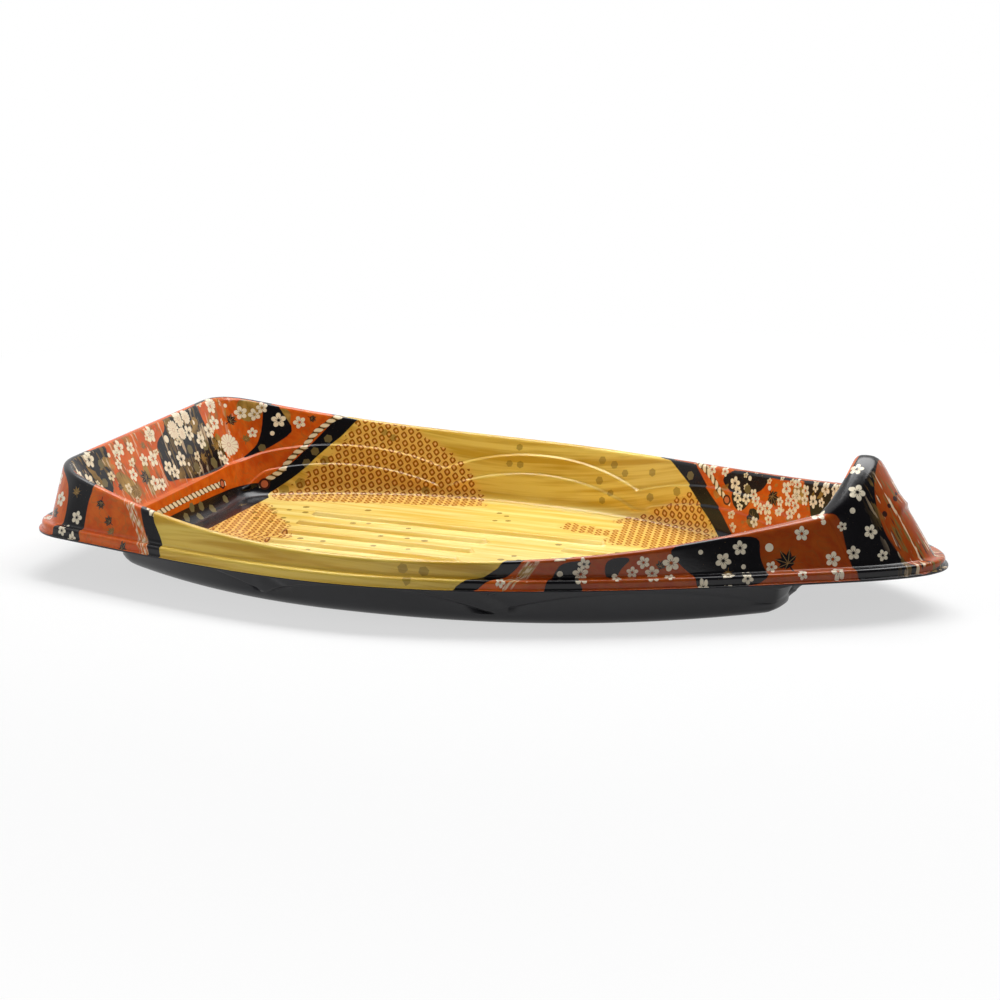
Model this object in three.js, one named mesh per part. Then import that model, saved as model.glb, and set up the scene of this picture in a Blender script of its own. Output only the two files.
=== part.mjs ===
// Boat-shaped food tray, formed in one stroke from a black plastic sheet with a printed film on top.
// Millimetres, +Z up, +X to the bow. The origin is under the middle of the brim, on the table.
import * as THREE from 'three';

// Sheet and film
const sheetThickness = 0.5;
const filmThickness = 0.1;
const bondGap = 0.05; // adhesive between the sheet and the film

// Brim, the widest outline, where the sheet is trimmed
const overallLength = 300;
const transomWidth = 141.2;
const transomFlare = 0.235; // how fast the sides widen from the transom, per mm of length
const beam = 183;
const beamFromStern = 115;
const bowShoulderWidth = 53;
const bowNoseLength = 23.3;
const bowEntry = 0.64; // how fast the sides close in at the bow shoulder, per mm of length
const brimCornerReach = 14.9;
const brimWidth = 1.2;
const brimHeight = 14.5;
const lipHeight = 3;
const ledgeWidth = 3.2;
const bowLedgeWidth = 3.5;

// Rim, the inner edge of the crest that the outer skirt folds down from
const rimSternInset = 8;
const rimCornerInset = 11.4;
const rimBeamInset = 7.4;
const rimBowInset = 31.3;
const rimShoulderWidth = 38.3;
const rimNoseLength = 6.5;
const rimFlare = 0.36;
const rimEntry = 0.91;
const rimCornerReach = 12;
const crestWidth = 2.4;
const bowCrestWidth = 6.7;

// Sheer of the rim above the table
const sternHeight = 35.6;
const waistHeight = 22.4;
const waistFromStern = 137;
const shoulderHeight = 33.5;
const peakHeight = 49.1;
const sternSheerPower = 2.4;
const bowSheerPower = 2.5;
const prowRisePower = 1.4;

// Floor, and how far the inner walls lean out from it
const wallRunStern = 15.2;
const wallRunCorner = 11.7;
const wallRunBeam = 9.4;
const wallRunBow = 18.4;
const floorShoulderWidth = 52.6;
const floorNoseLength = 2.6;
const floorFlare = 0.53;
const floorEntry = 0.9;
const floorCornerReach = 10;
const floorFillet = 3.2;

// Rounding where the sheet folds
const crestRound = 1.15;
const bowCrestRound = 2.6;
const skirtFootRound = 0.9;
const ledgeEdgeRound = 0.9;
const brimRootRound = 0.6;
const foldShare = 0.48; // most of a face that the rounding at one of its ends may take

// Raised ribs on the floor, in rows either side of the middle
const ribRowsPerSide = 3;
const ribPitch = 13.1;
const ribWidth = 4.6;
const ribTopWidth = 2;
const ribHeight = 1.3;
const ribSternMargin = 34.2; // clear floor aft of the ribs
const outerRibLength = 113.8;
const aftRibLength = 74.6; // inner rows, up to the plain patch that breaks them
const ribGapLength = 27;
const foreRibLength = 32.2; // inner rows, ahead of the patch, next to the outer row
const ribRowLead = 20; // how much further forward each row inside that one ends

// Overlapping scales embossed on the side walls, each with an outer and an inner arc
const scaleCount = 3;
const firstScaleFromStern = 49;
const scalePitch = 81;
const scaleRadius = 118;
const outerArcHeight = 17.2;
const innerArcHeight = 10.6;
const arcStep = 0.9; // how far each arc stands out as a little shelf
const arcShelf = 0.8; // length of wall that the step takes
const transomShelfHeight = 12.4;
const transomShelfStep = 1.4;
const innerArcFade = 0.33; // share of the inner arc's step that is left above it
const arcSpacing = 1.8; // least wall between two arcs, and between an arc and the floor
const bowShelfHeight = 7.2; // the outer arc ends in a wider shelf round the bow
const bowShelfWidth = 2.4;
const bowShelfRise = 2.8; // length of wall that this shelf takes

// Stations round half of the outline, stern to bow, and round the end of a rib
const transomSteps = 4;
const cornerSteps = 4;
const sideSteps = 20;
const noseSteps = 7;
const halfSteps = transomSteps + cornerSteps + sideSteps + noseSteps;
const ribEndSteps = 4;
const bowBlendSteps = 2; // steps either side of the bow shoulder over which the bow's sizes take over

const { lerp, clamp, smoothstep } = THREE.MathUtils;
const up = new THREE.Vector3(0, 0, 1);
const floorHeight = sheetThickness; // upper face, with the underside on the table
const ledgeHeight = brimHeight + lipHeight;
const brimSternX = -overallLength / 2;
const beamX = brimSternX + beamFromStern;
const waistX = brimSternX + waistFromStern;

// Plan outlines

function hermite(x, from, to, slopeFrom, slopeTo) {
  const span = to.x - from.x;
  const u = (x - from.x) / span;
  const rise = u * u * (3 - 2 * u);
  const lead = u * (1 - u) * (1 - u) * span * slopeFrom;
  const tail = u * u * (u - 1) * span * slopeTo;
  return from.y + (to.y - from.y) * rise + lead + tail;
}

// Half of a boat outline, from the middle of the transom round one side to the tip of the bow
function halfOutline(plan) {
  const corner = new THREE.Vector2(plan.sternX, plan.transomHalf);
  const along = new THREE.Vector2(1, plan.flare).normalize();
  const cornerStart = new THREE.Vector2(plan.sternX, plan.transomHalf - plan.cornerReach);
  const cornerEnd = corner.clone().addScaledVector(along, plan.cornerReach);
  const widest = new THREE.Vector2(beamX, plan.beamHalf);
  const shoulder = new THREE.Vector2(plan.tipX - plan.noseLength, plan.shoulderHalf);
  const noseCorner = new THREE.Vector2(plan.tipX, plan.shoulderHalf - plan.noseLength * plan.entry);
  const tip = new THREE.Vector2(plan.tipX, 0);
  const points = [];
  for (let i = 0; i < transomSteps; i += 1) {
    points.push(new THREE.Vector2(plan.sternX, (cornerStart.y * i) / transomSteps));
  }
  const round = new THREE.QuadraticBezierCurve(cornerStart, corner, cornerEnd);
  points.push(...round.getSpacedPoints(cornerSteps).slice(0, cornerSteps));
  for (let i = 0; i < sideSteps; i += 1) {
    const x = lerp(cornerEnd.x, shoulder.x, i / sideSteps);
    const y = x < widest.x
      ? hermite(x, cornerEnd, widest, plan.flare, 0)
      : hermite(x, widest, shoulder, 0, -plan.entry);
    points.push(new THREE.Vector2(x, y));
  }
  const nose = new THREE.QuadraticBezierCurve(shoulder, noseCorner, tip);
  points.push(...nose.getSpacedPoints(noseSteps));
  return points;
}

// The whole loop: the half outline, then its mirror image back to the transom
function closedOutline(plan) {
  const half = halfOutline(plan);
  const mirrored = half.slice(1, -1).reverse().map((p) => new THREE.Vector2(p.x, -p.y));
  return [...half, ...mirrored];
}

// Outward directions in plan at each point of a loop
function outwardNormals(loop) {
  return loop.map((point, i) => {
    const before = loop[(i + loop.length - 1) % loop.length];
    const after = loop[(i + 1) % loop.length];
    const tangent = after.clone().sub(before).normalize();
    return new THREE.Vector2(-tangent.y, tangent.x);
  });
}

const brimPlan = {
  sternX: brimSternX,
  tipX: overallLength / 2,
  transomHalf: transomWidth / 2,
  flare: transomFlare,
  cornerReach: brimCornerReach,
  beamHalf: beam / 2,
  shoulderHalf: bowShoulderWidth / 2,
  noseLength: bowNoseLength,
  entry: bowEntry,
};

const rimPlan = {
  sternX: brimPlan.sternX + rimSternInset,
  tipX: brimPlan.tipX - rimBowInset,
  transomHalf: brimPlan.transomHalf - rimCornerInset,
  flare: rimFlare,
  cornerReach: rimCornerReach,
  beamHalf: brimPlan.beamHalf - rimBeamInset,
  shoulderHalf: rimShoulderWidth / 2,
  noseLength: rimNoseLength,
  entry: rimEntry,
};

const floorPlan = {
  sternX: rimPlan.sternX + wallRunStern,
  tipX: rimPlan.tipX - wallRunBow,
  transomHalf: rimPlan.transomHalf - wallRunCorner,
  flare: floorFlare,
  cornerReach: floorCornerReach,
  beamHalf: rimPlan.beamHalf - wallRunBeam,
  shoulderHalf: floorShoulderWidth / 2,
  noseLength: floorNoseLength,
  entry: floorEntry,
};

const brimLoop = closedOutline(brimPlan);
const rimLoop = closedOutline(rimPlan);
const floorLoop = closedOutline(floorPlan);
const brimNormals = outwardNormals(brimLoop);
const rimNormals = outwardNormals(rimLoop);
const floorNormals = outwardNormals(floorLoop);
const stations = brimLoop.length;

// Steps from the middle of the transom, the same on both sides
function stepsFromStern(station) {
  return Math.min(station, stations - station);
}

// 0 along the sides, rising to 1 round the bow
function bowShare(station) {
  const noseStart = halfSteps - noseSteps;
  return smoothstep(stepsFromStern(station), noseStart - bowBlendSteps, noseStart + bowBlendSteps);
}

// Height of the rim: low amidships, higher at the transom, then a steep prow round the nose
function rimHeight(station) {
  const { x } = rimLoop[station];
  const noseSpan = stepsFromStern(station) - (halfSteps - noseSteps);
  const shoulderX = rimPlan.tipX - rimPlan.noseLength;
  if (noseSpan > 0) {
    const rise = 1 - (1 - noseSpan / noseSteps) ** prowRisePower;
    return lerp(shoulderHeight, peakHeight, rise);
  }
  if (x < waistX) {
    return lerp(waistHeight, sternHeight, ((waistX - x) / (waistX - rimPlan.sternX)) ** sternSheerPower);
  }
  return lerp(waistHeight, shoulderHeight, ((x - waistX) / (shoulderX - waistX)) ** bowSheerPower);
}

// Height of the scales' arcs where they run highest at a given length along the tray
function arcHeight(x, top) {
  let height = -Infinity;
  for (let i = 0; i < scaleCount; i += 1) {
    const middle = brimSternX + firstScaleFromStern + i * scalePitch;
    const away = Math.min(Math.abs(x - middle), scaleRadius);
    const drop = scaleRadius - Math.sqrt(scaleRadius * scaleRadius - away * away);
    height = Math.max(height, top - drop);
  }
  return height;
}

// Section of the sheet's upper face at one station, from the floor out to the trimmed edge

function at(flat, height) {
  return new THREE.Vector3(flat.x, flat.y, height);
}

function offset(flat, normal, distance) {
  return flat.clone().addScaledVector(normal, distance);
}

// Points that round off a corner, from reach before it to reach after it where its faces are long enough
function fold(before, corner, after, reach, steps) {
  const back = before.clone().sub(corner);
  const on = after.clone().sub(corner);
  const limited = Math.min(reach, foldShare * back.length(), foldShare * on.length());
  const start = corner.clone().add(back.setLength(limited));
  const end = corner.clone().add(on.setLength(limited));
  return new THREE.QuadraticBezierCurve3(start, corner, end).getPoints(steps);
}

// Wall points with the shelves of the scales. The wall above the outer arc stands further out by setback
function wallShelves(foot, head, station, setback) {
  const along = head.clone().sub(foot);
  const flat = new THREE.Vector3(along.x, along.y, 0).normalize();
  const length = along.length();
  const lean = along.dot(flat) / length;
  const climb = along.z / length;
  const inward = flat.multiplyScalar(-climb).addScaledVector(up, lean);
  const onWall = (height, step) => {
    const share = (height - foot.z) / along.z;
    return foot.clone().addScaledVector(along, share).addScaledVector(inward, step);
  };
  const reachedX = (height) => foot.x + (along.x * (height - foot.z)) / along.z;
  const lowest = foot.z + floorFillet * climb + arcSpacing / 2;
  const highest = head.z - crestRound * climb - arcSpacing;
  const sideShare = smoothstep(stepsFromStern(station), transomSteps, transomSteps + cornerSteps);
  const sideArc = lerp(transomShelfHeight, arcHeight(reachedX(outerArcHeight), outerArcHeight), sideShare);
  const outerArc = lerp(sideArc, bowShelfHeight, bowShare(station));
  const innerArc = lerp(foot.z, arcHeight(reachedX(innerArcHeight), innerArcHeight), sideShare);
  const outer = clamp(outerArc, lowest + arcSpacing, highest);
  const inner = clamp(innerArc, lowest, outer - arcSpacing);
  const outerStep = lerp(transomShelfStep, arcStep, sideShare);
  const innerStep = arcStep * clamp((innerArc - lowest) / arcSpacing, 0, 1);
  const shelf = arcShelf * climb;
  const outerShelf = lerp(arcShelf, bowShelfRise, bowShare(station)) * climb;
  return [
    onWall(inner, setback + innerStep),
    onWall(inner + shelf, setback + innerStep * innerArcFade),
    onWall(outer, setback + outerStep),
    onWall(outer + outerShelf, 0),
  ];
}

function section(station) {
  const rimZ = rimHeight(station);
  const share = bowShare(station);
  const crest = lerp(crestWidth, bowCrestWidth, share);
  const ledge = lerp(ledgeWidth, bowLedgeWidth, share);
  const brim = brimLoop[station];
  const outward = brimNormals[station];
  const crestFold = lerp(crestRound, bowCrestRound, share);
  const setback = lerp(0, bowShelfWidth, share);
  const floorIn = at(offset(floorLoop[station], floorNormals[station], -floorFillet / foldShare), floorHeight);
  const floorEdge = at(floorLoop[station], floorHeight);
  const wallFoot = at(offset(floorLoop[station], floorNormals[station], setback), floorHeight);
  const crestIn = at(rimLoop[station], rimZ);
  const lowerWall = floorEdge.clone().add(crestIn).sub(wallFoot);
  const crestOut = at(offset(rimLoop[station], rimNormals[station], crest), rimZ);
  const skirtFoot = at(offset(brim, outward, -brimWidth - ledge), ledgeHeight);
  const ledgeEdge = at(offset(brim, outward, -brimWidth), ledgeHeight);
  const lipFoot = at(offset(brim, outward, -brimWidth), brimHeight);
  const brimEdge = at(brim, brimHeight);
  return [
    ...fold(floorIn, floorEdge, lowerWall, floorFillet, 2),
    ...wallShelves(wallFoot, crestIn, station, setback),
    ...fold(wallFoot, crestIn, crestOut, crestFold, 2),
    ...fold(crestIn, crestOut, skirtFoot, crestFold, 2),
    ...fold(crestOut, skirtFoot, ledgeEdge, skirtFootRound, 1),
    ...fold(skirtFoot, ledgeEdge, lipFoot, ledgeEdgeRound, 2),
    ...fold(ledgeEdge, lipFoot, brimEdge, brimRootRound, 1),
    brimEdge,
  ];
}

// Ribs

// Round-ended bar outline, anticlockwise
function barOutline(fromX, toX, y, width) {
  const radius = width / 2;
  const points = [];
  const ends = [
    { x: toX - radius, turn: -Math.PI / 2 },
    { x: fromX + radius, turn: Math.PI / 2 },
  ];
  for (const end of ends) {
    for (let i = 0; i <= ribEndSteps; i += 1) {
      const angle = end.turn + (Math.PI * i) / ribEndSteps;
      points.push(new THREE.Vector2(end.x + radius * Math.cos(angle), y + radius * Math.sin(angle)));
    }
  }
  return points;
}

// Where each rib runs: the outer rows unbroken, the inner ones parted by the plain patch
function ribRuns() {
  const aft = floorPlan.sternX + ribSternMargin;
  const patchAft = aft + aftRibLength;
  const patchFore = patchAft + ribGapLength;
  const runs = [];
  for (let row = 0; row < ribRowsPerSide; row += 1) {
    const rowsOutside = ribRowsPerSide - 1 - row;
    for (const side of [1, -1]) {
      const y = side * (ribPitch / 2 + row * ribPitch);
      if (rowsOutside === 0) {
        runs.push({ aft, fore: aft + outerRibLength, y });
      } else {
        runs.push({ aft, fore: patchAft, y });
        runs.push({ aft: patchFore, fore: patchFore + foreRibLength + (rowsOutside - 1) * ribRowLead, y });
      }
    }
  }
  return runs;
}

// Upper face of the sheet: points, triangles facing up, and the loop of its trimmed edge

function buildFace() {
  const points = [];
  const triangles = [];
  const sections = brimLoop.map((point, station) => section(station));
  const rows = sections[0].length;
  for (let row = 0; row < rows; row += 1) {
    points.push(...sections.map((profile) => profile[row]));
  }
  for (let row = 0; row + 1 < rows; row += 1) {
    for (let i = 0; i < stations; i += 1) {
      const next = (i + 1) % stations;
      const inner = row * stations + i;
      const innerNext = row * stations + next;
      triangles.push([inner, innerNext, innerNext + stations]);
      triangles.push([inner, innerNext + stations, inner + stations]);
    }
  }
  const contour = brimLoop.map((point, station) => stations - 1 - station);
  const holes = [];
  const slope = (ribWidth - ribTopWidth) / 2;
  for (const run of ribRuns()) {
    const foot = barOutline(run.aft, run.fore, run.y, ribWidth);
    const head = barOutline(run.aft + slope, run.fore - slope, run.y, ribTopWidth);
    const footStart = points.length;
    points.push(...foot.map((p) => at(p, floorHeight)));
    const headStart = points.length;
    points.push(...head.map((p) => at(p, floorHeight + ribHeight)));
    for (let i = 0; i < foot.length; i += 1) {
      const next = (i + 1) % foot.length;
      triangles.push([footStart + i, footStart + next, headStart + next]);
      triangles.push([footStart + i, headStart + next, headStart + i]);
    }
    const cap = THREE.ShapeUtils.triangulateShape(head, []);
    triangles.push(...cap.map((corners) => corners.map((corner) => headStart + corner)));
    holes.push(foot.map((p, i) => footStart + foot.length - 1 - i));
  }
  const flat = (index) => new THREE.Vector2(points[index].x, points[index].y);
  const floor = THREE.ShapeUtils.triangulateShape(contour.map(flat), holes.map((hole) => hole.map(flat)));
  const floorIndex = [...contour, ...holes.flat()];
  triangles.push(...floor.map((corners) => corners.map((corner) => floorIndex[corner])));
  return { points, triangles, edgeStart: (rows - 1) * stations };
}

// Directions that the sheet's thickness follows: straight up on the floor and ribs
function faceNormals(face) {
  const geometry = new THREE.BufferGeometry().setFromPoints(face.points);
  geometry.setIndex(face.triangles.flat());
  geometry.computeVertexNormals();
  const normals = geometry.getAttribute('normal');
  const lastWallPoint = face.edgeStart + stations;
  return face.points.map((point, i) => {
    const onFloor = i < stations || i >= lastWallPoint;
    return onFloor ? up.clone() : new THREE.Vector3().fromBufferAttribute(normals, i);
  });
}

// Closed body between two levels above or below the sheet's upper face
function layerGeometry(face, normals, below, above) {
  const level = (distance) => face.points.map((p, i) => p.clone().addScaledVector(normals[i], distance));
  const points = [...level(above), ...level(below)];
  const lower = face.points.length;
  const index = [];
  for (const [a, b, c] of face.triangles) {
    index.push(a, b, c);
    index.push(lower + a, lower + c, lower + b);
  }
  for (let i = 0; i < stations; i += 1) {
    const edge = face.edgeStart + i;
    const next = face.edgeStart + ((i + 1) % stations);
    index.push(edge, next, lower + next);
    index.push(edge, lower + next, lower + edge);
  }
  const geometry = new THREE.BufferGeometry().setFromPoints(points);
  geometry.setIndex(index);
  geometry.computeVertexNormals();
  return geometry;
}

const face = buildFace();
const normals = faceNormals(face);

const tray = new THREE.Group();

const trayShell = new THREE.Mesh(
  layerGeometry(face, normals, -sheetThickness, 0),
  new THREE.MeshStandardMaterial({ color: 0x26262a, roughness: 0.35, metalness: 0 }),
);
trayShell.name = 'tray_shell';
tray.add(trayShell);

const printedFilm = new THREE.Mesh(
  layerGeometry(face, normals, bondGap, bondGap + filmThickness),
  new THREE.MeshStandardMaterial({ color: 0xd9b457, roughness: 0.25, metalness: 0 }),
);
printedFilm.name = 'printed_film';
tray.add(printedFilm);

export default tray;
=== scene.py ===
import math

import bpy
import numpy as np
from mathutils import Matrix, Vector
from mathutils.geometry import delaunay_2d_cdt


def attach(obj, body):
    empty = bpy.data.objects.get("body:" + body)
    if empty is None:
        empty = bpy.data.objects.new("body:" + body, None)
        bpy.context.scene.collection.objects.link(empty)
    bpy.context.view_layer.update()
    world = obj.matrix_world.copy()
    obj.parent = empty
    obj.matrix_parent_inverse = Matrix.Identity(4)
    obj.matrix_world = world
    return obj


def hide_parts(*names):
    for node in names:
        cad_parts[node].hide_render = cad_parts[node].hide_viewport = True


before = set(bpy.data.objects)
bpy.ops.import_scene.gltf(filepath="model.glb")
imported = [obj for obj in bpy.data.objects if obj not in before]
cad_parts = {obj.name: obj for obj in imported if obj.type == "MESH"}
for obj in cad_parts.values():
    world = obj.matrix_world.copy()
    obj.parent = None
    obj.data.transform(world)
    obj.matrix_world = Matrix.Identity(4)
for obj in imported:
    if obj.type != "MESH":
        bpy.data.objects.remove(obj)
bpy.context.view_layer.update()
mm = 0.001
scene = bpy.context.scene
scene.view_settings.view_transform = "Standard"

# Camera and light

view = {
    "azimuth": 21.77,
    "elevation": 15.67,
    "away": 1.0263,
    "lens": 108.0,
    "shiftX": -0.0159,
    "shiftY": 0.0639,
}


def makeCamera():
    turn, rise = math.radians(view["azimuth"]), math.radians(view["elevation"])
    back = Vector((math.sin(turn) * math.cos(rise), -math.cos(turn) * math.cos(rise), math.sin(rise)))
    right = Vector((math.cos(turn), math.sin(turn), 0))
    up = back.cross(right)
    data = bpy.data.cameras.new("viewCamera")
    data.sensor_width = 36
    data.lens = view["lens"]
    data.shift_x, data.shift_y = view["shiftX"], view["shiftY"]
    camera = bpy.data.objects.new("viewCamera", data)
    camera.matrix_world = Matrix((
        (right.x, up.x, back.x, back.x * view["away"]),
        (right.y, up.y, back.y, back.y * view["away"]),
        (right.z, up.z, back.z, back.z * view["away"]),
        (0, 0, 0, 1),
    ))
    scene.collection.objects.link(camera)
    scene.camera = camera


def makeLamp(name, place, aim, width, depth, watts, mirrored=True):
    data = bpy.data.lights.new(name, "AREA")
    data.shape = "RECTANGLE"
    data.size, data.size_y = width, depth
    data.energy = watts
    lamp = bpy.data.objects.new(name, data)
    lamp.location = place
    lamp.rotation_euler = (Vector(aim) - Vector(place)).to_track_quat("-Z", "Y").to_euler()
    lamp.visible_glossy = mirrored
    scene.collection.objects.link(lamp)


def makeStudio():
    makeLamp("overheadSoftbox", (0.05, 0.47, 1.1), (0, 0, 0), 1.5, 0.55, 20.6)
    makeLamp("bowFill", (1.5, -0.5, 0.8), (0, 0, 0.02), 0.9, 0.7, 1.8, False)
    makeLamp("sternFill", (-1.5, -0.85, 0.55), (0, 0, 0.02), 0.9, 0.6, 12.5, False)
    world = bpy.data.worlds.new("studio")
    scene.world = world
    world.use_nodes = True
    nodes, links = world.node_tree.nodes, world.node_tree.links
    dim = nodes["Background"]
    dim.inputs["Color"].default_value = (1, 1, 1, 1)
    dim.inputs["Strength"].default_value = 0.13
    path = nodes.new("ShaderNodeLightPath")
    white = nodes.new("ShaderNodeBackground")
    white.inputs["Color"].default_value = (1, 1, 1, 1)
    # gloss shows the white backdrop behind and beside the tray, and the darker room in front of it
    facing = nodes.new("ShaderNodeVectorMath")
    facing.operation = "DOT_PRODUCT"
    links.new(nodes.new("ShaderNodeTexCoord").outputs["Generated"], facing.inputs[0])
    facing.inputs[1].default_value = (-0.55, 0.83, 0)
    reach = nodes.new("ShaderNodeMapRange")
    for socket, value in zip(list(reach.inputs)[1:5], (-0.2, 0.3, 0.1, 1.0)):
        socket.default_value = value
    links.new(facing.outputs["Value"], reach.inputs[0])
    backdrop = nodes.new("ShaderNodeBackground")
    backdrop.inputs["Color"].default_value = (1, 1, 1, 1)
    links.new(reach.outputs[0], backdrop.inputs["Strength"])
    shiny = nodes.new("ShaderNodeMath")
    shiny.operation = "MAXIMUM"
    links.new(path.outputs["Is Glossy Ray"], shiny.inputs[0])
    links.new(path.outputs["Is Transmission Ray"], shiny.inputs[1])
    below = dim
    for share, above in ((shiny.outputs[0], backdrop), (path.outputs["Is Camera Ray"], white)):
        choose = nodes.new("ShaderNodeMixShader")
        links.new(share, choose.inputs[0])
        links.new(below.outputs[0], choose.inputs[1])
        links.new(above.outputs[0], choose.inputs[2])
        below = choose
    links.new(below.outputs[0], nodes["World Output"].inputs["Surface"])


def makeTable():
    side = 6.0
    mesh = bpy.data.meshes.new("table")
    mesh.from_pydata([(-side, -side, 0), (side, -side, 0), (side, side, 0), (-side, side, 0)], [], [(0, 1, 2, 3)])
    table = bpy.data.objects.new("table", mesh)
    table.location.z = -0.00005
    scene.collection.objects.link(table)
    paint = bpy.data.materials.new("tablePaint")
    paint.use_nodes = True
    nodes, links = paint.node_tree.nodes, paint.node_tree.links
    matt = nodes["Principled BSDF"]
    matt.inputs["Base Color"].default_value = (0.32, 0.32, 0.32, 1)
    matt.inputs["Roughness"].default_value = 0.9
    matt.inputs["Specular IOR Level"].default_value = 0.1
    path = nodes.new("ShaderNodeLightPath")
    # seen by the camera the table is white, with the shadow kept near the tray
    lift = nodes.new("ShaderNodeEmission")
    lift.inputs["Strength"].default_value = 0.6
    lit = nodes.new("ShaderNodeAddShader")
    links.new(matt.outputs[0], lit.inputs[0])
    links.new(lift.outputs[0], lit.inputs[1])
    white = nodes.new("ShaderNodeEmission")
    place = nodes.new("ShaderNodeNewGeometry")
    away = nodes.new("ShaderNodeVectorMath")
    away.operation = "LENGTH"
    links.new(place.outputs["Position"], away.inputs[0])
    fade = nodes.new("ShaderNodeMapRange")
    fade.inputs[1].default_value, fade.inputs[2].default_value = 0.22, 0.42
    links.new(away.outputs["Value"], fade.inputs[0])
    seen = nodes.new("ShaderNodeMixShader")
    links.new(fade.outputs[0], seen.inputs[0])
    links.new(lit.outputs[0], seen.inputs[1])
    links.new(white.outputs[0], seen.inputs[2])
    choose = nodes.new("ShaderNodeMixShader")
    either = nodes.new("ShaderNodeMath")
    either.operation = "MAXIMUM"
    links.new(path.outputs["Is Camera Ray"], either.inputs[0])
    links.new(path.outputs["Is Glossy Ray"], either.inputs[1])
    links.new(either.outputs[0], choose.inputs[0])
    links.new(matt.outputs[0], choose.inputs[1])
    links.new(seen.outputs[0], choose.inputs[2])
    links.new(choose.outputs[0], nodes["Material Output"].inputs["Surface"])
    mesh.materials.append(paint)


makeCamera()
makeStudio()
makeTable()
print("stage: camera, lamps and table")

# The sheet's upper face, in mm, with the sizes of the part

tray = {
    "length": 300.0, "transomWidth": 141.2, "transomFlare": 0.235, "beam": 183.0, "beamFromStern": 115.0,
    "bowShoulder": 53.0, "bowNose": 23.3, "bowEntry": 0.64, "brimCorner": 14.9, "brimWidth": 1.2,
    "brimHeight": 14.5, "lipHeight": 3.0, "ledge": 3.2, "bowLedge": 3.5,
    "rimStern": 8.0, "rimCorner": 11.4, "rimBeam": 7.4, "rimBow": 31.3, "rimShoulder": 38.3, "rimNose": 6.5,
    "rimFlare": 0.36, "rimEntry": 0.91, "rimCornerReach": 12.0, "crest": 2.4, "bowCrest": 6.7,
    "sternHeight": 35.6, "waistHeight": 22.4, "waistFromStern": 137.0, "shoulderHeight": 33.5,
    "peakHeight": 49.1, "sternSheer": 2.4, "bowSheer": 2.5, "prowRise": 1.4,
    "runStern": 15.2, "runCorner": 11.7, "runBeam": 9.4, "runBow": 18.4, "floorShoulder": 52.6,
    "floorNose": 2.6, "floorFlare": 0.53, "floorEntry": 0.9, "floorCorner": 10.0, "fillet": 3.2,
    "crestRound": 1.15, "bowCrestRound": 2.6, "footRound": 0.9, "ledgeRound": 0.9, "brimRound": 0.6,
    "sheet": 0.5, "film": 0.1, "bond": 0.05,
    "scaleFirst": 49.0, "scalePitch": 81.0, "scaleRadius": 118.0, "outerArc": 17.2, "innerArc": 10.6,
    "arcStep": 1.05, "arcShelf": 1.0, "arcFade": 0.28, "arcSpacing": 1.8, "transomShelf": 12.4,
    "arcTrail": 10.5, "arcOverlap": 36.5,
    "transomStep": 1.4, "bowShelf": 7.2, "bowSetback": 2.4, "bowShelfRise": 2.8,
    "lugPlace": 23.6, "lugHeight": 0.8, "lugHalfWidth": 4.8, "noseFull": 1.0, "noseHollow": 4.2,
    "ribRows": 3, "ribPitch": 13.1, "ribWidth": 4.6, "ribTop": 2.0, "ribHeight": 1.3, "ribMargin": 34.2,
    "outerRib": 113.8, "aftRib": 74.6, "ribGap": 27.0, "foreRib": 32.2, "ribLead": 20.0,
}


def ease(value, low, high):
    share = np.clip((value - low) / (high - low), 0, 1)
    return share * share * (3 - 2 * share)


def sweep(x, start, end, slopeStart, slopeEnd):
    span = end[0] - start[0]
    u = (x - start[0]) / span
    rise = u * u * (3 - 2 * u)
    lead = u * (1 - u) ** 2 * span * slopeStart
    tail = u * u * (u - 1) * span * slopeEnd
    return start[1] + (end[1] - start[1]) * rise + lead + tail


def bend(start, corner, end, count):
    t = np.linspace(0, 1, 301)[:, None]
    line = (1 - t) ** 2 * start + 2 * t * (1 - t) * corner + t * t * end
    gone = np.r_[0, np.cumsum(np.hypot(*np.diff(line, axis=0).T))]
    steps = np.linspace(0, gone[-1], count + 1)
    return np.stack([np.interp(steps, gone, line[:, 0]), np.interp(steps, gone, line[:, 1])], 1)


def boatOutline(plan, counts, beamX):
    corner = np.array([plan["sternX"], plan["half"]])
    onward = np.array([1, plan["flare"]]) / math.hypot(1, plan["flare"])
    cornerStart = corner - [0, plan["corner"]]
    cornerEnd = corner + onward * plan["corner"]
    widest = np.array([beamX, plan["beamHalf"]])
    shoulder = np.array([plan["tipX"] - plan["nose"], plan["shoulder"]])
    noseCorner = np.array([plan["tipX"], plan["shoulder"] - plan["nose"] * plan["entry"]])
    transomY = cornerStart[1] * np.arange(counts["transom"]) / counts["transom"]
    x = cornerEnd[0] + (shoulder[0] - cornerEnd[0]) * np.arange(counts["side"]) / counts["side"]
    y = np.where(x < beamX, sweep(x, cornerEnd, widest, plan["flare"], 0), sweep(x, widest, shoulder, 0, -plan["entry"]))
    half = np.concatenate([
        np.stack([np.full(counts["transom"], plan["sternX"]), transomY], 1),
        bend(cornerStart, corner, cornerEnd, counts["corner"])[:-1],
        np.stack([x, y], 1),
        bend(shoulder, noseCorner, np.array([plan["tipX"], 0.0]), counts["nose"]),
    ])
    return np.concatenate([half, half[1:-1][::-1] * [1, -1]])


def outward(loop):
    run = np.roll(loop, -1, 0) - np.roll(loop, 1, 0)
    run /= np.hypot(*run.T)[:, None]
    return np.stack([-run[:, 1], run[:, 0]], 1)


def unit(vectors):
    return vectors / np.maximum(np.linalg.norm(vectors, axis=-1, keepdims=True), 1e-9)


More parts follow.
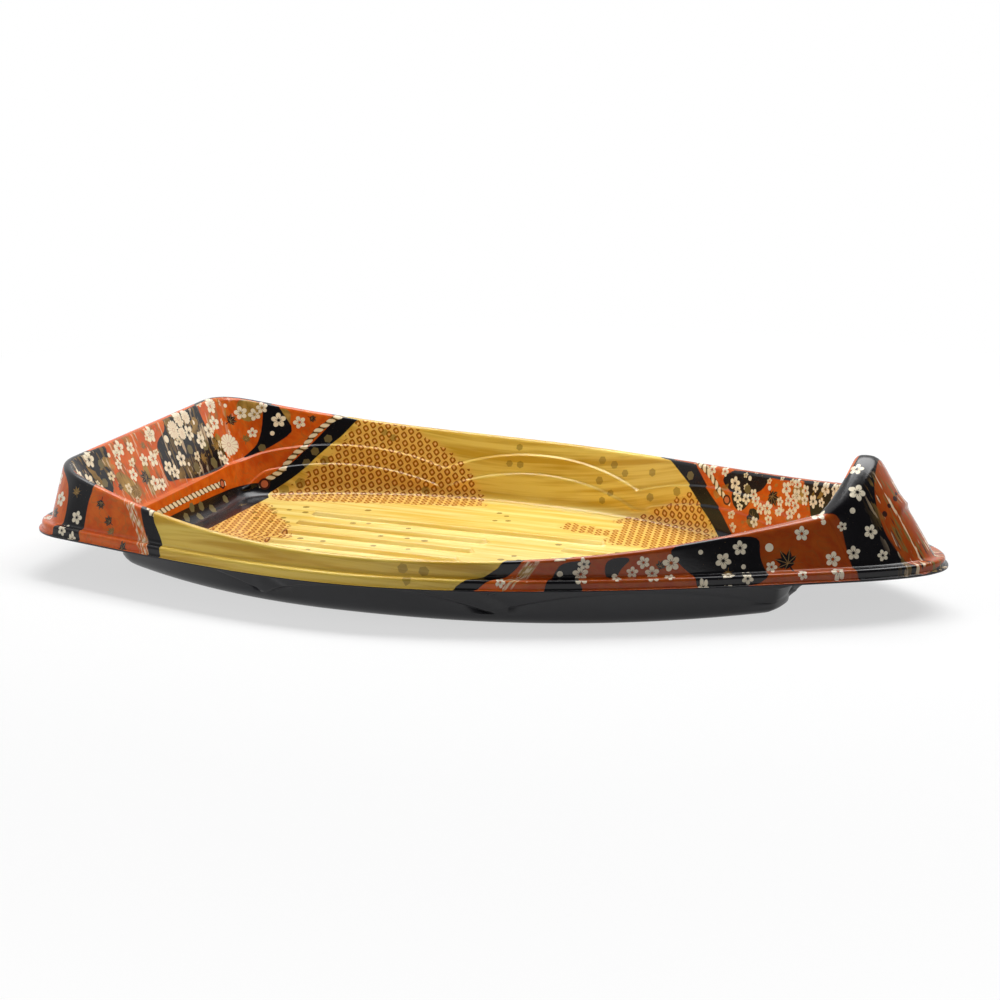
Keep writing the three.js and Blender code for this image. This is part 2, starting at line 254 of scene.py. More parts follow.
def makeFace(counts, steps):
    t = tray
    sternX = -t["length"] / 2
    beamX, waistX = sternX + t["beamFromStern"], sternX + t["waistFromStern"]
    brimPlan = {
        "sternX": sternX, "tipX": -sternX, "half": t["transomWidth"] / 2, "flare": t["transomFlare"],
        "corner": t["brimCorner"], "beamHalf": t["beam"] / 2, "shoulder": t["bowShoulder"] / 2,
        "nose": t["bowNose"], "entry": t["bowEntry"],
    }
    rimPlan = {
        "sternX": sternX + t["rimStern"], "tipX": -sternX - t["rimBow"], "half": brimPlan["half"] - t["rimCorner"],
        "flare": t["rimFlare"], "corner": t["rimCornerReach"], "beamHalf": brimPlan["beamHalf"] - t["rimBeam"],
        "shoulder": t["rimShoulder"] / 2, "nose": t["rimNose"], "entry": t["rimEntry"],
    }
    floorPlan = {
        "sternX": rimPlan["sternX"] + t["runStern"], "tipX": rimPlan["tipX"] - t["runBow"],
        "half": rimPlan["half"] - t["runCorner"], "flare": t["floorFlare"], "corner": t["floorCorner"],
        "beamHalf": rimPlan["beamHalf"] - t["runBeam"], "shoulder": t["floorShoulder"] / 2,
        "nose": t["floorNose"], "entry": t["floorEntry"],
    }
    brim, rim, floor = (boatOutline(plan, counts, beamX) for plan in (brimPlan, rimPlan, floorPlan))
    brimOut, rimOut, floorOut = outward(brim), outward(rim), outward(floor)
    n = len(brim)
    half = n // 2
    step = np.minimum(np.arange(n), n - np.arange(n)).astype(float)
    marks = np.cumsum([0, counts["transom"], counts["corner"], counts["side"], counts["nose"]])
    partStep = np.interp(step, marks, [0, 4, 8, 28, 35])  # the same place on the part's own stations
    bow = ease(partStep, 26, 30)
    side = ease(partStep, 4, 8)
    # height of the rim
    x = rim[:, 0]
    shoulderX = rimPlan["tipX"] - rimPlan["nose"]
    aft = (np.clip(waistX - x, 0, None) / (waistX - rimPlan["sternX"])) ** t["sternSheer"]
    fore = (np.clip(x - waistX, 0, None) / (shoulderX - waistX)) ** t["bowSheer"]
    rimZ = t["waistHeight"] + (t["sternHeight"] - t["waistHeight"]) * aft + (t["shoulderHeight"] - t["waistHeight"]) * fore
    nose = np.clip((step - marks[3]) / counts["nose"], 0, 1)
    prow = t["shoulderHeight"] + (t["peakHeight"] - t["shoulderHeight"]) * (1 - (1 - nose) ** t["prowRise"])
    rimZ = np.where(nose > 0, prow, rimZ)

    def at(flat, height):
        return np.c_[flat, np.broadcast_to(height, n)]

    def toBow(plain, bowSize):
        return plain + (bowSize - plain) * bow

    crest, ledge = toBow(t["crest"], t["bowCrest"]), toBow(t["ledge"], t["bowLedge"])
    setback = toBow(0, t["bowSetback"])
    ledgeZ = t["brimHeight"] + t["lipHeight"]
    floorIn = at(floor - floorOut * t["fillet"], t["sheet"])
    floorEdge = at(floor, t["sheet"])
    wallFoot = at(floor + floorOut * setback[:, None], t["sheet"])
    crestIn, crestOut = at(rim, rimZ), at(rim + rimOut * crest[:, None], rimZ)
    skirtFoot = at(brim - brimOut * (t["brimWidth"] + ledge)[:, None], ledgeZ)
    ledgeEdge = at(brim - brimOut * t["brimWidth"], ledgeZ)
    lipFoot, brimEdge = at(brim - brimOut * t["brimWidth"], t["brimHeight"]), at(brim, t["brimHeight"])
    # the wall's two arcs, each a little shelf
    wall = crestIn - wallFoot
    length = np.linalg.norm(wall, axis=1)
    flat = unit(np.c_[wall[:, :2], np.zeros(n)])
    climb = wall[:, 2] / length
    lean = (wall * flat).sum(1) / length
    inward = np.c_[-flat[:, :2] * climb[:, None], lean]

    def arcHeight(top):
        reached = wallFoot[:, 0] + wall[:, 0] * (top - t["sheet"]) / wall[:, 2]
        drops = []
        for scale in range(3):
            away = np.minimum(np.abs(reached - (sternX + t["scaleFirst"] + scale * t["scalePitch"])), t["scaleRadius"])
            drops.append(t["scaleRadius"] - np.sqrt(t["scaleRadius"] ** 2 - away ** 2))
        return top - np.min(drops, axis=0)

    lowest = t["sheet"] + t["fillet"] * climb + t["arcSpacing"] / 6
    highest = rimZ - t["crestRound"] * climb - t["arcSpacing"]
    outer = t["transomShelf"] + (arcHeight(t["outerArc"]) - t["transomShelf"]) * side
    outer = np.clip(outer + (t["bowShelf"] - outer) * bow, lowest + t["arcSpacing"], highest)
    innerFree = t["sheet"] + (arcHeight(t["innerArc"]) - t["sheet"]) * side
    inner = np.clip(innerFree, lowest, outer - t["arcSpacing"])
    outerStep = t["transomStep"] + (t["arcStep"] - t["transomStep"]) * side
    innerStep = t["arcStep"] * np.clip((innerFree - lowest) / t["arcSpacing"] * 1.5 + 0.95, 0, 1)
    # each scale lies over the one towards the bow, whose inner arc starts at this scale's outer arc
    scaleX = [sternX + t["scaleFirst"] + k * t["scalePitch"] for k in range(3)]
    reached = wallFoot[:, 0] + wall[:, 0] * (inner - t["sheet"]) / wall[:, 2]
    for middle in scaleX[1:]:
        behind = middle - reached
        hidden = ease(behind, t["arcOverlap"] - 1.5, t["arcOverlap"] + 1.5) * (behind < t["scalePitch"] / 2)
        innerStep = innerStep * (1 - hidden)
    shelf = t["arcShelf"] * climb
    outerShelf = toBow(t["arcShelf"], t["bowShelfRise"]) * climb
    rows, places = [], []

    def add(points, place):
        rows.append(points)
        places.append(np.broadcast_to(place, n))

    def fold(before, corner, after, reach, count, place):
        back, on = unit(before - corner), unit(after - corner)
        start, end = corner + back * reach[:, None], corner + on * reach[:, None]
        for w in np.linspace(0, 1, count + 1):
            add((1 - w) ** 2 * start + 2 * w * (1 - w) * corner + w * w * end, place + reach * (2 * w - 1))

    def straight(start, end, count, place, distance):
        for share in np.linspace(0, 1, count + 2)[1:-1]:
            add(start + (end - start) * share, place + distance * share)

    def limited(reach, *faces):
        return np.minimum.reduce([np.broadcast_to(reach, n)] + [0.48 * np.linalg.norm(f, axis=1) for f in faces])

    # under the next scale the outer arc trails on down the wall
    def trailing(height):
        x = wallFoot[:, 0] + wall[:, 0] * (t["outerArc"] - t["sheet"]) / wall[:, 2]
        rise = np.zeros(n)
        for middle in scaleX[:2]:
            on = np.clip(x - middle, 0, t["scaleRadius"])
            line = t["outerArc"] - t["scaleRadius"] + np.sqrt(t["scaleRadius"] ** 2 - on ** 2)
            past = on - t["scalePitch"] / 2
            weight = ease(past, -1.0, 0.5) * (1 - ease(past, t["arcTrail"] - 3, t["arcTrail"]))
            away = height - line
            ridge = np.where(away < 0, 1 + away / 2.5, 1 - away / t["arcShelf"])
            rise = np.maximum(rise, weight * np.clip(ridge, 0, 1))
        return rise * t["arcStep"] * 0.6

    def onWall(height, inset):
        share = (height - t["sheet"]) / wall[:, 2]
        inset = inset + trailing(height)
        add(wallFoot + wall * share[:, None] + inward * inset[:, None], share * length)

    def wallBand(low, high, insetLow, insetHigh, count, gather=True):
        for share in np.linspace(0, 1, count + 1)[:-1]:
            share = (1 - math.cos(math.pi * share)) / 2 if gather else share  # rows gather beside the shelves
            onWall(low + (high - low) * share, insetLow + (insetHigh - insetLow) * share)

    fillet = np.full(n, t["fillet"])
    fold(floorIn, floorEdge, floorEdge + wall, fillet, steps["fillet"], 0)
    firstWallRow = len(rows)
    filletTop = t["sheet"] + t["fillet"] * climb
    under = setback
    gap = inner - filletTop
    wallBand(filletTop + gap / steps["low"], inner, under + innerStep / steps["low"], under + innerStep, steps["low"] - 1)
    wallBand(inner, inner + shelf, under + innerStep, under + innerStep * t["arcFade"], steps["shelf"], False)
    wallBand(inner + shelf, outer, under + innerStep * t["arcFade"], under + outerStep, steps["mid"])
    wallBand(outer, outer + outerShelf, under + outerStep, np.zeros(n), steps["shelf"], False)
    crestReach = limited(toBow(t["crestRound"], t["bowCrestRound"]), wall, crestOut - crestIn, skirtFoot - crestOut)
    wallBand(outer + outerShelf, rimZ - crestReach * climb, np.zeros(n), np.zeros(n), steps["high"])
    lastWallRow = len(rows)
    fold(wallFoot, crestIn, crestOut, crestReach, steps["crest"], length)
    place = length + crest
    straight(crestIn + (crestOut - crestIn) * (crestReach / crest)[:, None],
             crestOut - (crestOut - crestIn) * (crestReach / crest)[:, None], steps["flat"], length + crestReach, crest - 2 * crestReach)
    skirt = np.linalg.norm(skirtFoot - crestOut, axis=1)
    fold(crestIn, crestOut, skirtFoot, crestReach, steps["crest"], place)
    footReach = limited(t["footRound"], skirtFoot - crestOut, ledgeEdge - skirtFoot)
    down = unit(skirtFoot - crestOut)
    straight(crestOut + down * crestReach[:, None], skirtFoot - down * footReach[:, None], steps["skirt"],
             place + crestReach, skirt - crestReach - footReach)
    place = place + skirt
    fold(crestOut, skirtFoot, ledgeEdge, footReach, steps["foot"], place)
    place = place + ledge
    ledgeReach = limited(t["ledgeRound"], ledgeEdge - skirtFoot, lipFoot - ledgeEdge)
    straight(skirtFoot + (ledgeEdge - skirtFoot) * (footReach / ledge)[:, None],
             ledgeEdge - (ledgeEdge - skirtFoot) * (ledgeReach / ledge)[:, None], steps["flat"],
             place - ledge + footReach, ledge - footReach - ledgeReach)
    fold(skirtFoot, ledgeEdge, lipFoot, ledgeReach, steps["foot"], place)
    place = place + t["lipHeight"]
    brimReach = limited(t["brimRound"], lipFoot - ledgeEdge, brimEdge - lipFoot)
    straight(ledgeEdge - [0, 0, 1] * ledgeReach[:, None], lipFoot + [0, 0, 1] * brimReach[:, None], steps["flat"],
             place - t["lipHeight"] + ledgeReach, t["lipHeight"] - ledgeReach - brimReach)
    fold(ledgeEdge, lipFoot, brimEdge, brimReach, steps["foot"], place)
    add(brimEdge, place + t["brimWidth"])
    gone = np.r_[0, np.cumsum(np.hypot(*np.diff(np.r_[rim, rim[:1]], axis=0).T))]
    around = np.where(np.arange(n) <= half, gone[:-1], gone[:-1] - gone[-1])  # far side positive, near side negative
    # a small pressed lug across the front of the stem
    grid, placeGrid = np.array(rows), np.array(places)
    down = placeGrid - length
    swell = np.exp(-((down - t["lugPlace"]) / 1.5) ** 2) - 0.7 * np.exp(-((down - t["lugPlace"] - 2.8) / 0.9) ** 2)
    swell = swell * (1 - ease(gone[half] - np.abs(around), t["lugHalfWidth"] - 1.2, t["lugHalfWidth"] + 0.8))
    grid = grid + np.c_[rimOut, np.zeros(n)][None] * (t["lugHeight"] * swell)[..., None]
    # below its shelf the nose of the hull stands fuller at its corners and draws back between them
    height = grid[:lastWallRow, :, 2]
    full = t["noseFull"] * np.exp(-((height - 2.4) / 1.5) ** 2) * ease(height, t["sheet"], 2.0)
    hollow = t["noseHollow"] * np.exp(-((np.abs(floor[:, 1]) - 4.5) / 7.5) ** 2)
    full = (full - hollow * ease(height, 0.8, 1.8) * (1 - ease(height, 4.5, 7.5))) * bow
    grid[:lastWallRow] += np.c_[floorOut, np.zeros(n)][None] * full[..., None]
    return {
        "grid": grid, "place": placeGrid, "around": around, "wallLength": length,
        "floorLoop": floor - floorOut * t["fillet"], "floorOut": floorOut, "wallRows": (firstWallRow, lastWallRow),
        "rimLength": gone[-1],
    }


def edgeDistance(points, loop):
    loop = np.asarray(loop, float)
    start, end = loop, np.roll(loop, -1, 0)
    run = end - start
    best = np.full(len(points), 1e9)
    inside = np.zeros(len(points), bool)
    for a, b, d in zip(start, end, run):
        off = points - a
        share = np.clip((off @ d) / max(d @ d, 1e-12), 0, 1)
        best = np.minimum(best, np.hypot(*(off - share[:, None] * d).T))
        crosses = (a[1] > points[:, 1]) != (b[1] > points[:, 1])
        with np.errstate(divide="ignore", invalid="ignore"):
            at = a[0] + (points[:, 1] - a[1]) / (b[1] - a[1]) * (b[0] - a[0])
        inside ^= crosses & (points[:, 0] < at)
    return np.where(inside, best, -best)


def softened(loop, rounds=2):
    loop = np.asarray(loop, float)
    for _ in range(rounds):
        after = np.roll(loop, -1, 0)
        loop = np.stack([loop * 0.75 + after * 0.25, loop * 0.25 + after * 0.75], 1).reshape(-1, 2)
    return loop


def ribLines():
    aft = makeRibStart
    lines = []
    for row in range(tray["ribRows"]):
        outside = tray["ribRows"] - 1 - row
        for side in (1, -1):
            y = side * (tray["ribPitch"] / 2 + row * tray["ribPitch"])
            if outside == 0:
                lines.append((aft, aft + tray["outerRib"], y))
            else:
                patch = aft + tray["aftRib"]
                lines.append((aft, patch, y))
                fore = patch + tray["ribGap"]
                lines.append((fore, fore + tray["foreRib"] + (outside - 1) * tray["ribLead"], y))
    return lines


def ribRise(points):
    rise = np.zeros(len(points))
    for aft, fore, y in ribLines():
        along = np.clip(points[:, 0], aft + tray["ribWidth"] / 2, fore - tray["ribWidth"] / 2)
        away = np.hypot(points[:, 0] - along, points[:, 1] - y)
        # straight slopes with small rounds at their foot and top
        share = np.clip((tray["ribWidth"] / 2 - away) / (tray["ribWidth"] - tray["ribTop"]) * 2, 0, 1)
        rise = np.maximum(rise, 0.75 * share + 0.25 * share * share * (3 - 2 * share))
    return rise * tray["ribHeight"]


def makeFloor(loop, pitch, ribPitch):
    xs = np.arange(loop[:, 0].min(), loop[:, 0].max(), pitch)
    ys = np.arange(-80, 80, pitch)
    grid = np.array([(x + (pitch / 2 if j % 2 else 0), y) for j, y in enumerate(ys) for x in xs])
    grid = grid[edgeDistance(grid, loop) > pitch * 0.6]
    margin = tray["ribWidth"] / 2 + 0.4
    keep = np.ones(len(grid), bool)
    extra = []
    across = np.array([0, 0.34, 0.43, 0.5, 0.72, 0.93, 1.0, 1.09])
    across = np.r_[-across[:0:-1], across] * tray["ribWidth"] / 2
    for aft, fore, y in ribLines():
        near = (np.abs(grid[:, 1] - y) < margin + 0.3) & (grid[:, 0] > aft - 0.7) & (grid[:, 0] < fore + 0.7)
        keep &= ~near
        half = tray["ribWidth"] / 2
        for x in np.arange(aft + half, fore - half, ribPitch):
            extra += [(x, y + a) for a in across]
        for end, turn in ((fore - half, -1), (aft + half, 1)):
            for angle in np.linspace(-math.pi / 2, math.pi / 2, 9):
                extra += [(end - turn * a * math.cos(angle), y + a * math.sin(angle)) for a in across[7:]]
    points = np.concatenate([loop, grid[keep], np.unique(np.round(extra, 4), axis=0)])
    ring = list(range(len(loop)))[::-1]
    made = delaunay_2d_cdt([Vector(p) for p in points], [], [ring], 1, 1e-6)
    source = np.array([origin[0] for origin in made[3]])
    faces = np.array([[source[v] for v in face] for face in made[2]])
    a, b, c = (points[faces[:, k]] for k in range(3))
    turned = np.cross(b - a, c - a) < 0
    faces[turned] = faces[turned][:, ::-1]
    return points[len(loop):], faces


def joinFace(face, floorPitch, ribPitch):
    grid = face["grid"]
    rows, n = grid.shape[:2]
    inner, floorFaces = makeFloor(grid[0][:, :2], floorPitch, ribPitch)
    floorPoints = np.c_[inner, tray["sheet"] + ribRise(inner)]
    points = np.concatenate([grid.reshape(-1, 3), floorPoints])
    r, i = np.meshgrid(np.arange(rows - 1), np.arange(n), indexing="ij")
    here, nextOne = (r * n + i).ravel(), (r * n + (i + 1) % n).ravel()
    quads = np.stack([here, nextOne, nextOne + n, here + n], 1)
    triangles = np.where(floorFaces < n, floorFaces, floorFaces - n + rows * n)
    corners = np.concatenate([quads.ravel(), triangles.ravel()])
    sizes = np.r_[np.full(len(quads), 4), np.full(len(triangles), 3)]
    normals = np.zeros_like(points)
    a, b, c, d = (points[quads[:, k]] for k in range(4))
    quadNormal = np.cross(c - a, d - b)
    for k in range(4):
        np.add.at(normals, quads[:, k], quadNormal)
    a, b, c = (points[triangles[:, k]] for k in range(3))
    triNormal = np.cross(b - a, c - a)
    for k in range(3):
        np.add.at(normals, triangles[:, k], triNormal)
    normals = unit(normals)
    # the little shelves keep their form on the underside, so the offset there follows the wall as a whole
    steady = normals[:rows * n].reshape(rows, n, 3).copy()
    first, last = face["wallRows"]
    for _ in range(12):
        steady[first:last] = unit(steady[first - 1:last - 1] + 2 * steady[first:last] + steady[first + 1:last + 1])
    normals[:rows * n] = steady.reshape(-1, 3)
    return {
        "points": points, "corners": corners, "sizes": sizes, "normals": normals, "rows": rows, "n": n,
        "faceNormals": unit(np.concatenate([quadNormal, triNormal])),
        "faceMids": np.concatenate([points[quads].mean(1), points[triangles].mean(1)]),
    }


def closedLayer(name, face, below, above):
    points, corners, sizes = face["points"], face["corners"], face["sizes"]
    total = len(points)
    upper, lower = points + face["normals"] * above, points + face["normals"] * below
    starts = np.r_[0, np.cumsum(sizes)[:-1]]
    index = np.arange(len(corners))
    owner = np.repeat(np.arange(len(sizes)), sizes)
    flipped = starts[owner] + sizes[owner] - 1 - (index - starts[owner])
    edge = (face["rows"] - 1) * face["n"] + np.arange(face["n"])
    following = np.roll(edge, -1)
    rimFaces = np.stack([edge, following, following + total, edge + total], 1)
    allCorners = np.concatenate([corners, corners[flipped] + total, rimFaces.ravel()])
    allSizes = np.concatenate([sizes, sizes, np.full(len(edge), 4)])
    mesh = bpy.data.meshes.new(name)
    mesh.vertices.add(2 * total)
    mesh.vertices.foreach_set("co", (np.concatenate([upper, lower]) * mm).ravel())
    mesh.loops.add(len(allCorners))
    mesh.loops.foreach_set("vertex_index", allCorners.astype(np.int32))
    mesh.polygons.add(len(allSizes))
    mesh.polygons.foreach_set("loop_start", np.r_[0, np.cumsum(allSizes)[:-1]].astype(np.int32))
    mesh.polygons.foreach_set("use_smooth", np.ones(len(allSizes), bool))
    mesh.update(calc_edges=True)
    mesh.validate()
    piece = bpy.data.objects.new(name, mesh)
    scene.collection.objects.link(piece)
    return piece


makeRibStart = -tray["length"] / 2 + tray["rimStern"] + tray["runStern"] + tray["ribMargin"]

faceForm = {
    "counts": {"transom": 26, "corner": 12, "side": 150, "nose": 24},
    "steps": {"fillet": 5, "low": 6, "shelf": 3, "mid": 12, "high": 11, "crest": 4, "flat": 2, "skirt": 17, "foot": 3},
    "floorPitch": 2.2, "ribPitch": 2.0,
}
faceGrid = makeFace(faceForm["counts"], faceForm["steps"])
upperFace = joinFace(faceGrid, faceForm["floorPitch"], faceForm["ribPitch"])
film = closedLayer("printedFilm", upperFace, tray["bond"], tray["bond"] + tray["film"])
shell = closedLayer("blackSheet", upperFace, -tray["sheet"], 0)
for piece, node, slotName in ((film, "printed_film", "printed_film"), (shell, "tray_shell", "black_sheet")):
    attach(piece, "root")
    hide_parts(node)
print("sheet and film:", len(shell.data.polygons), "and", len(film.data.polygons), "faces")

# The print, laid out in mm: along the rim from the middle of the transom, and up the wall or out over the crest

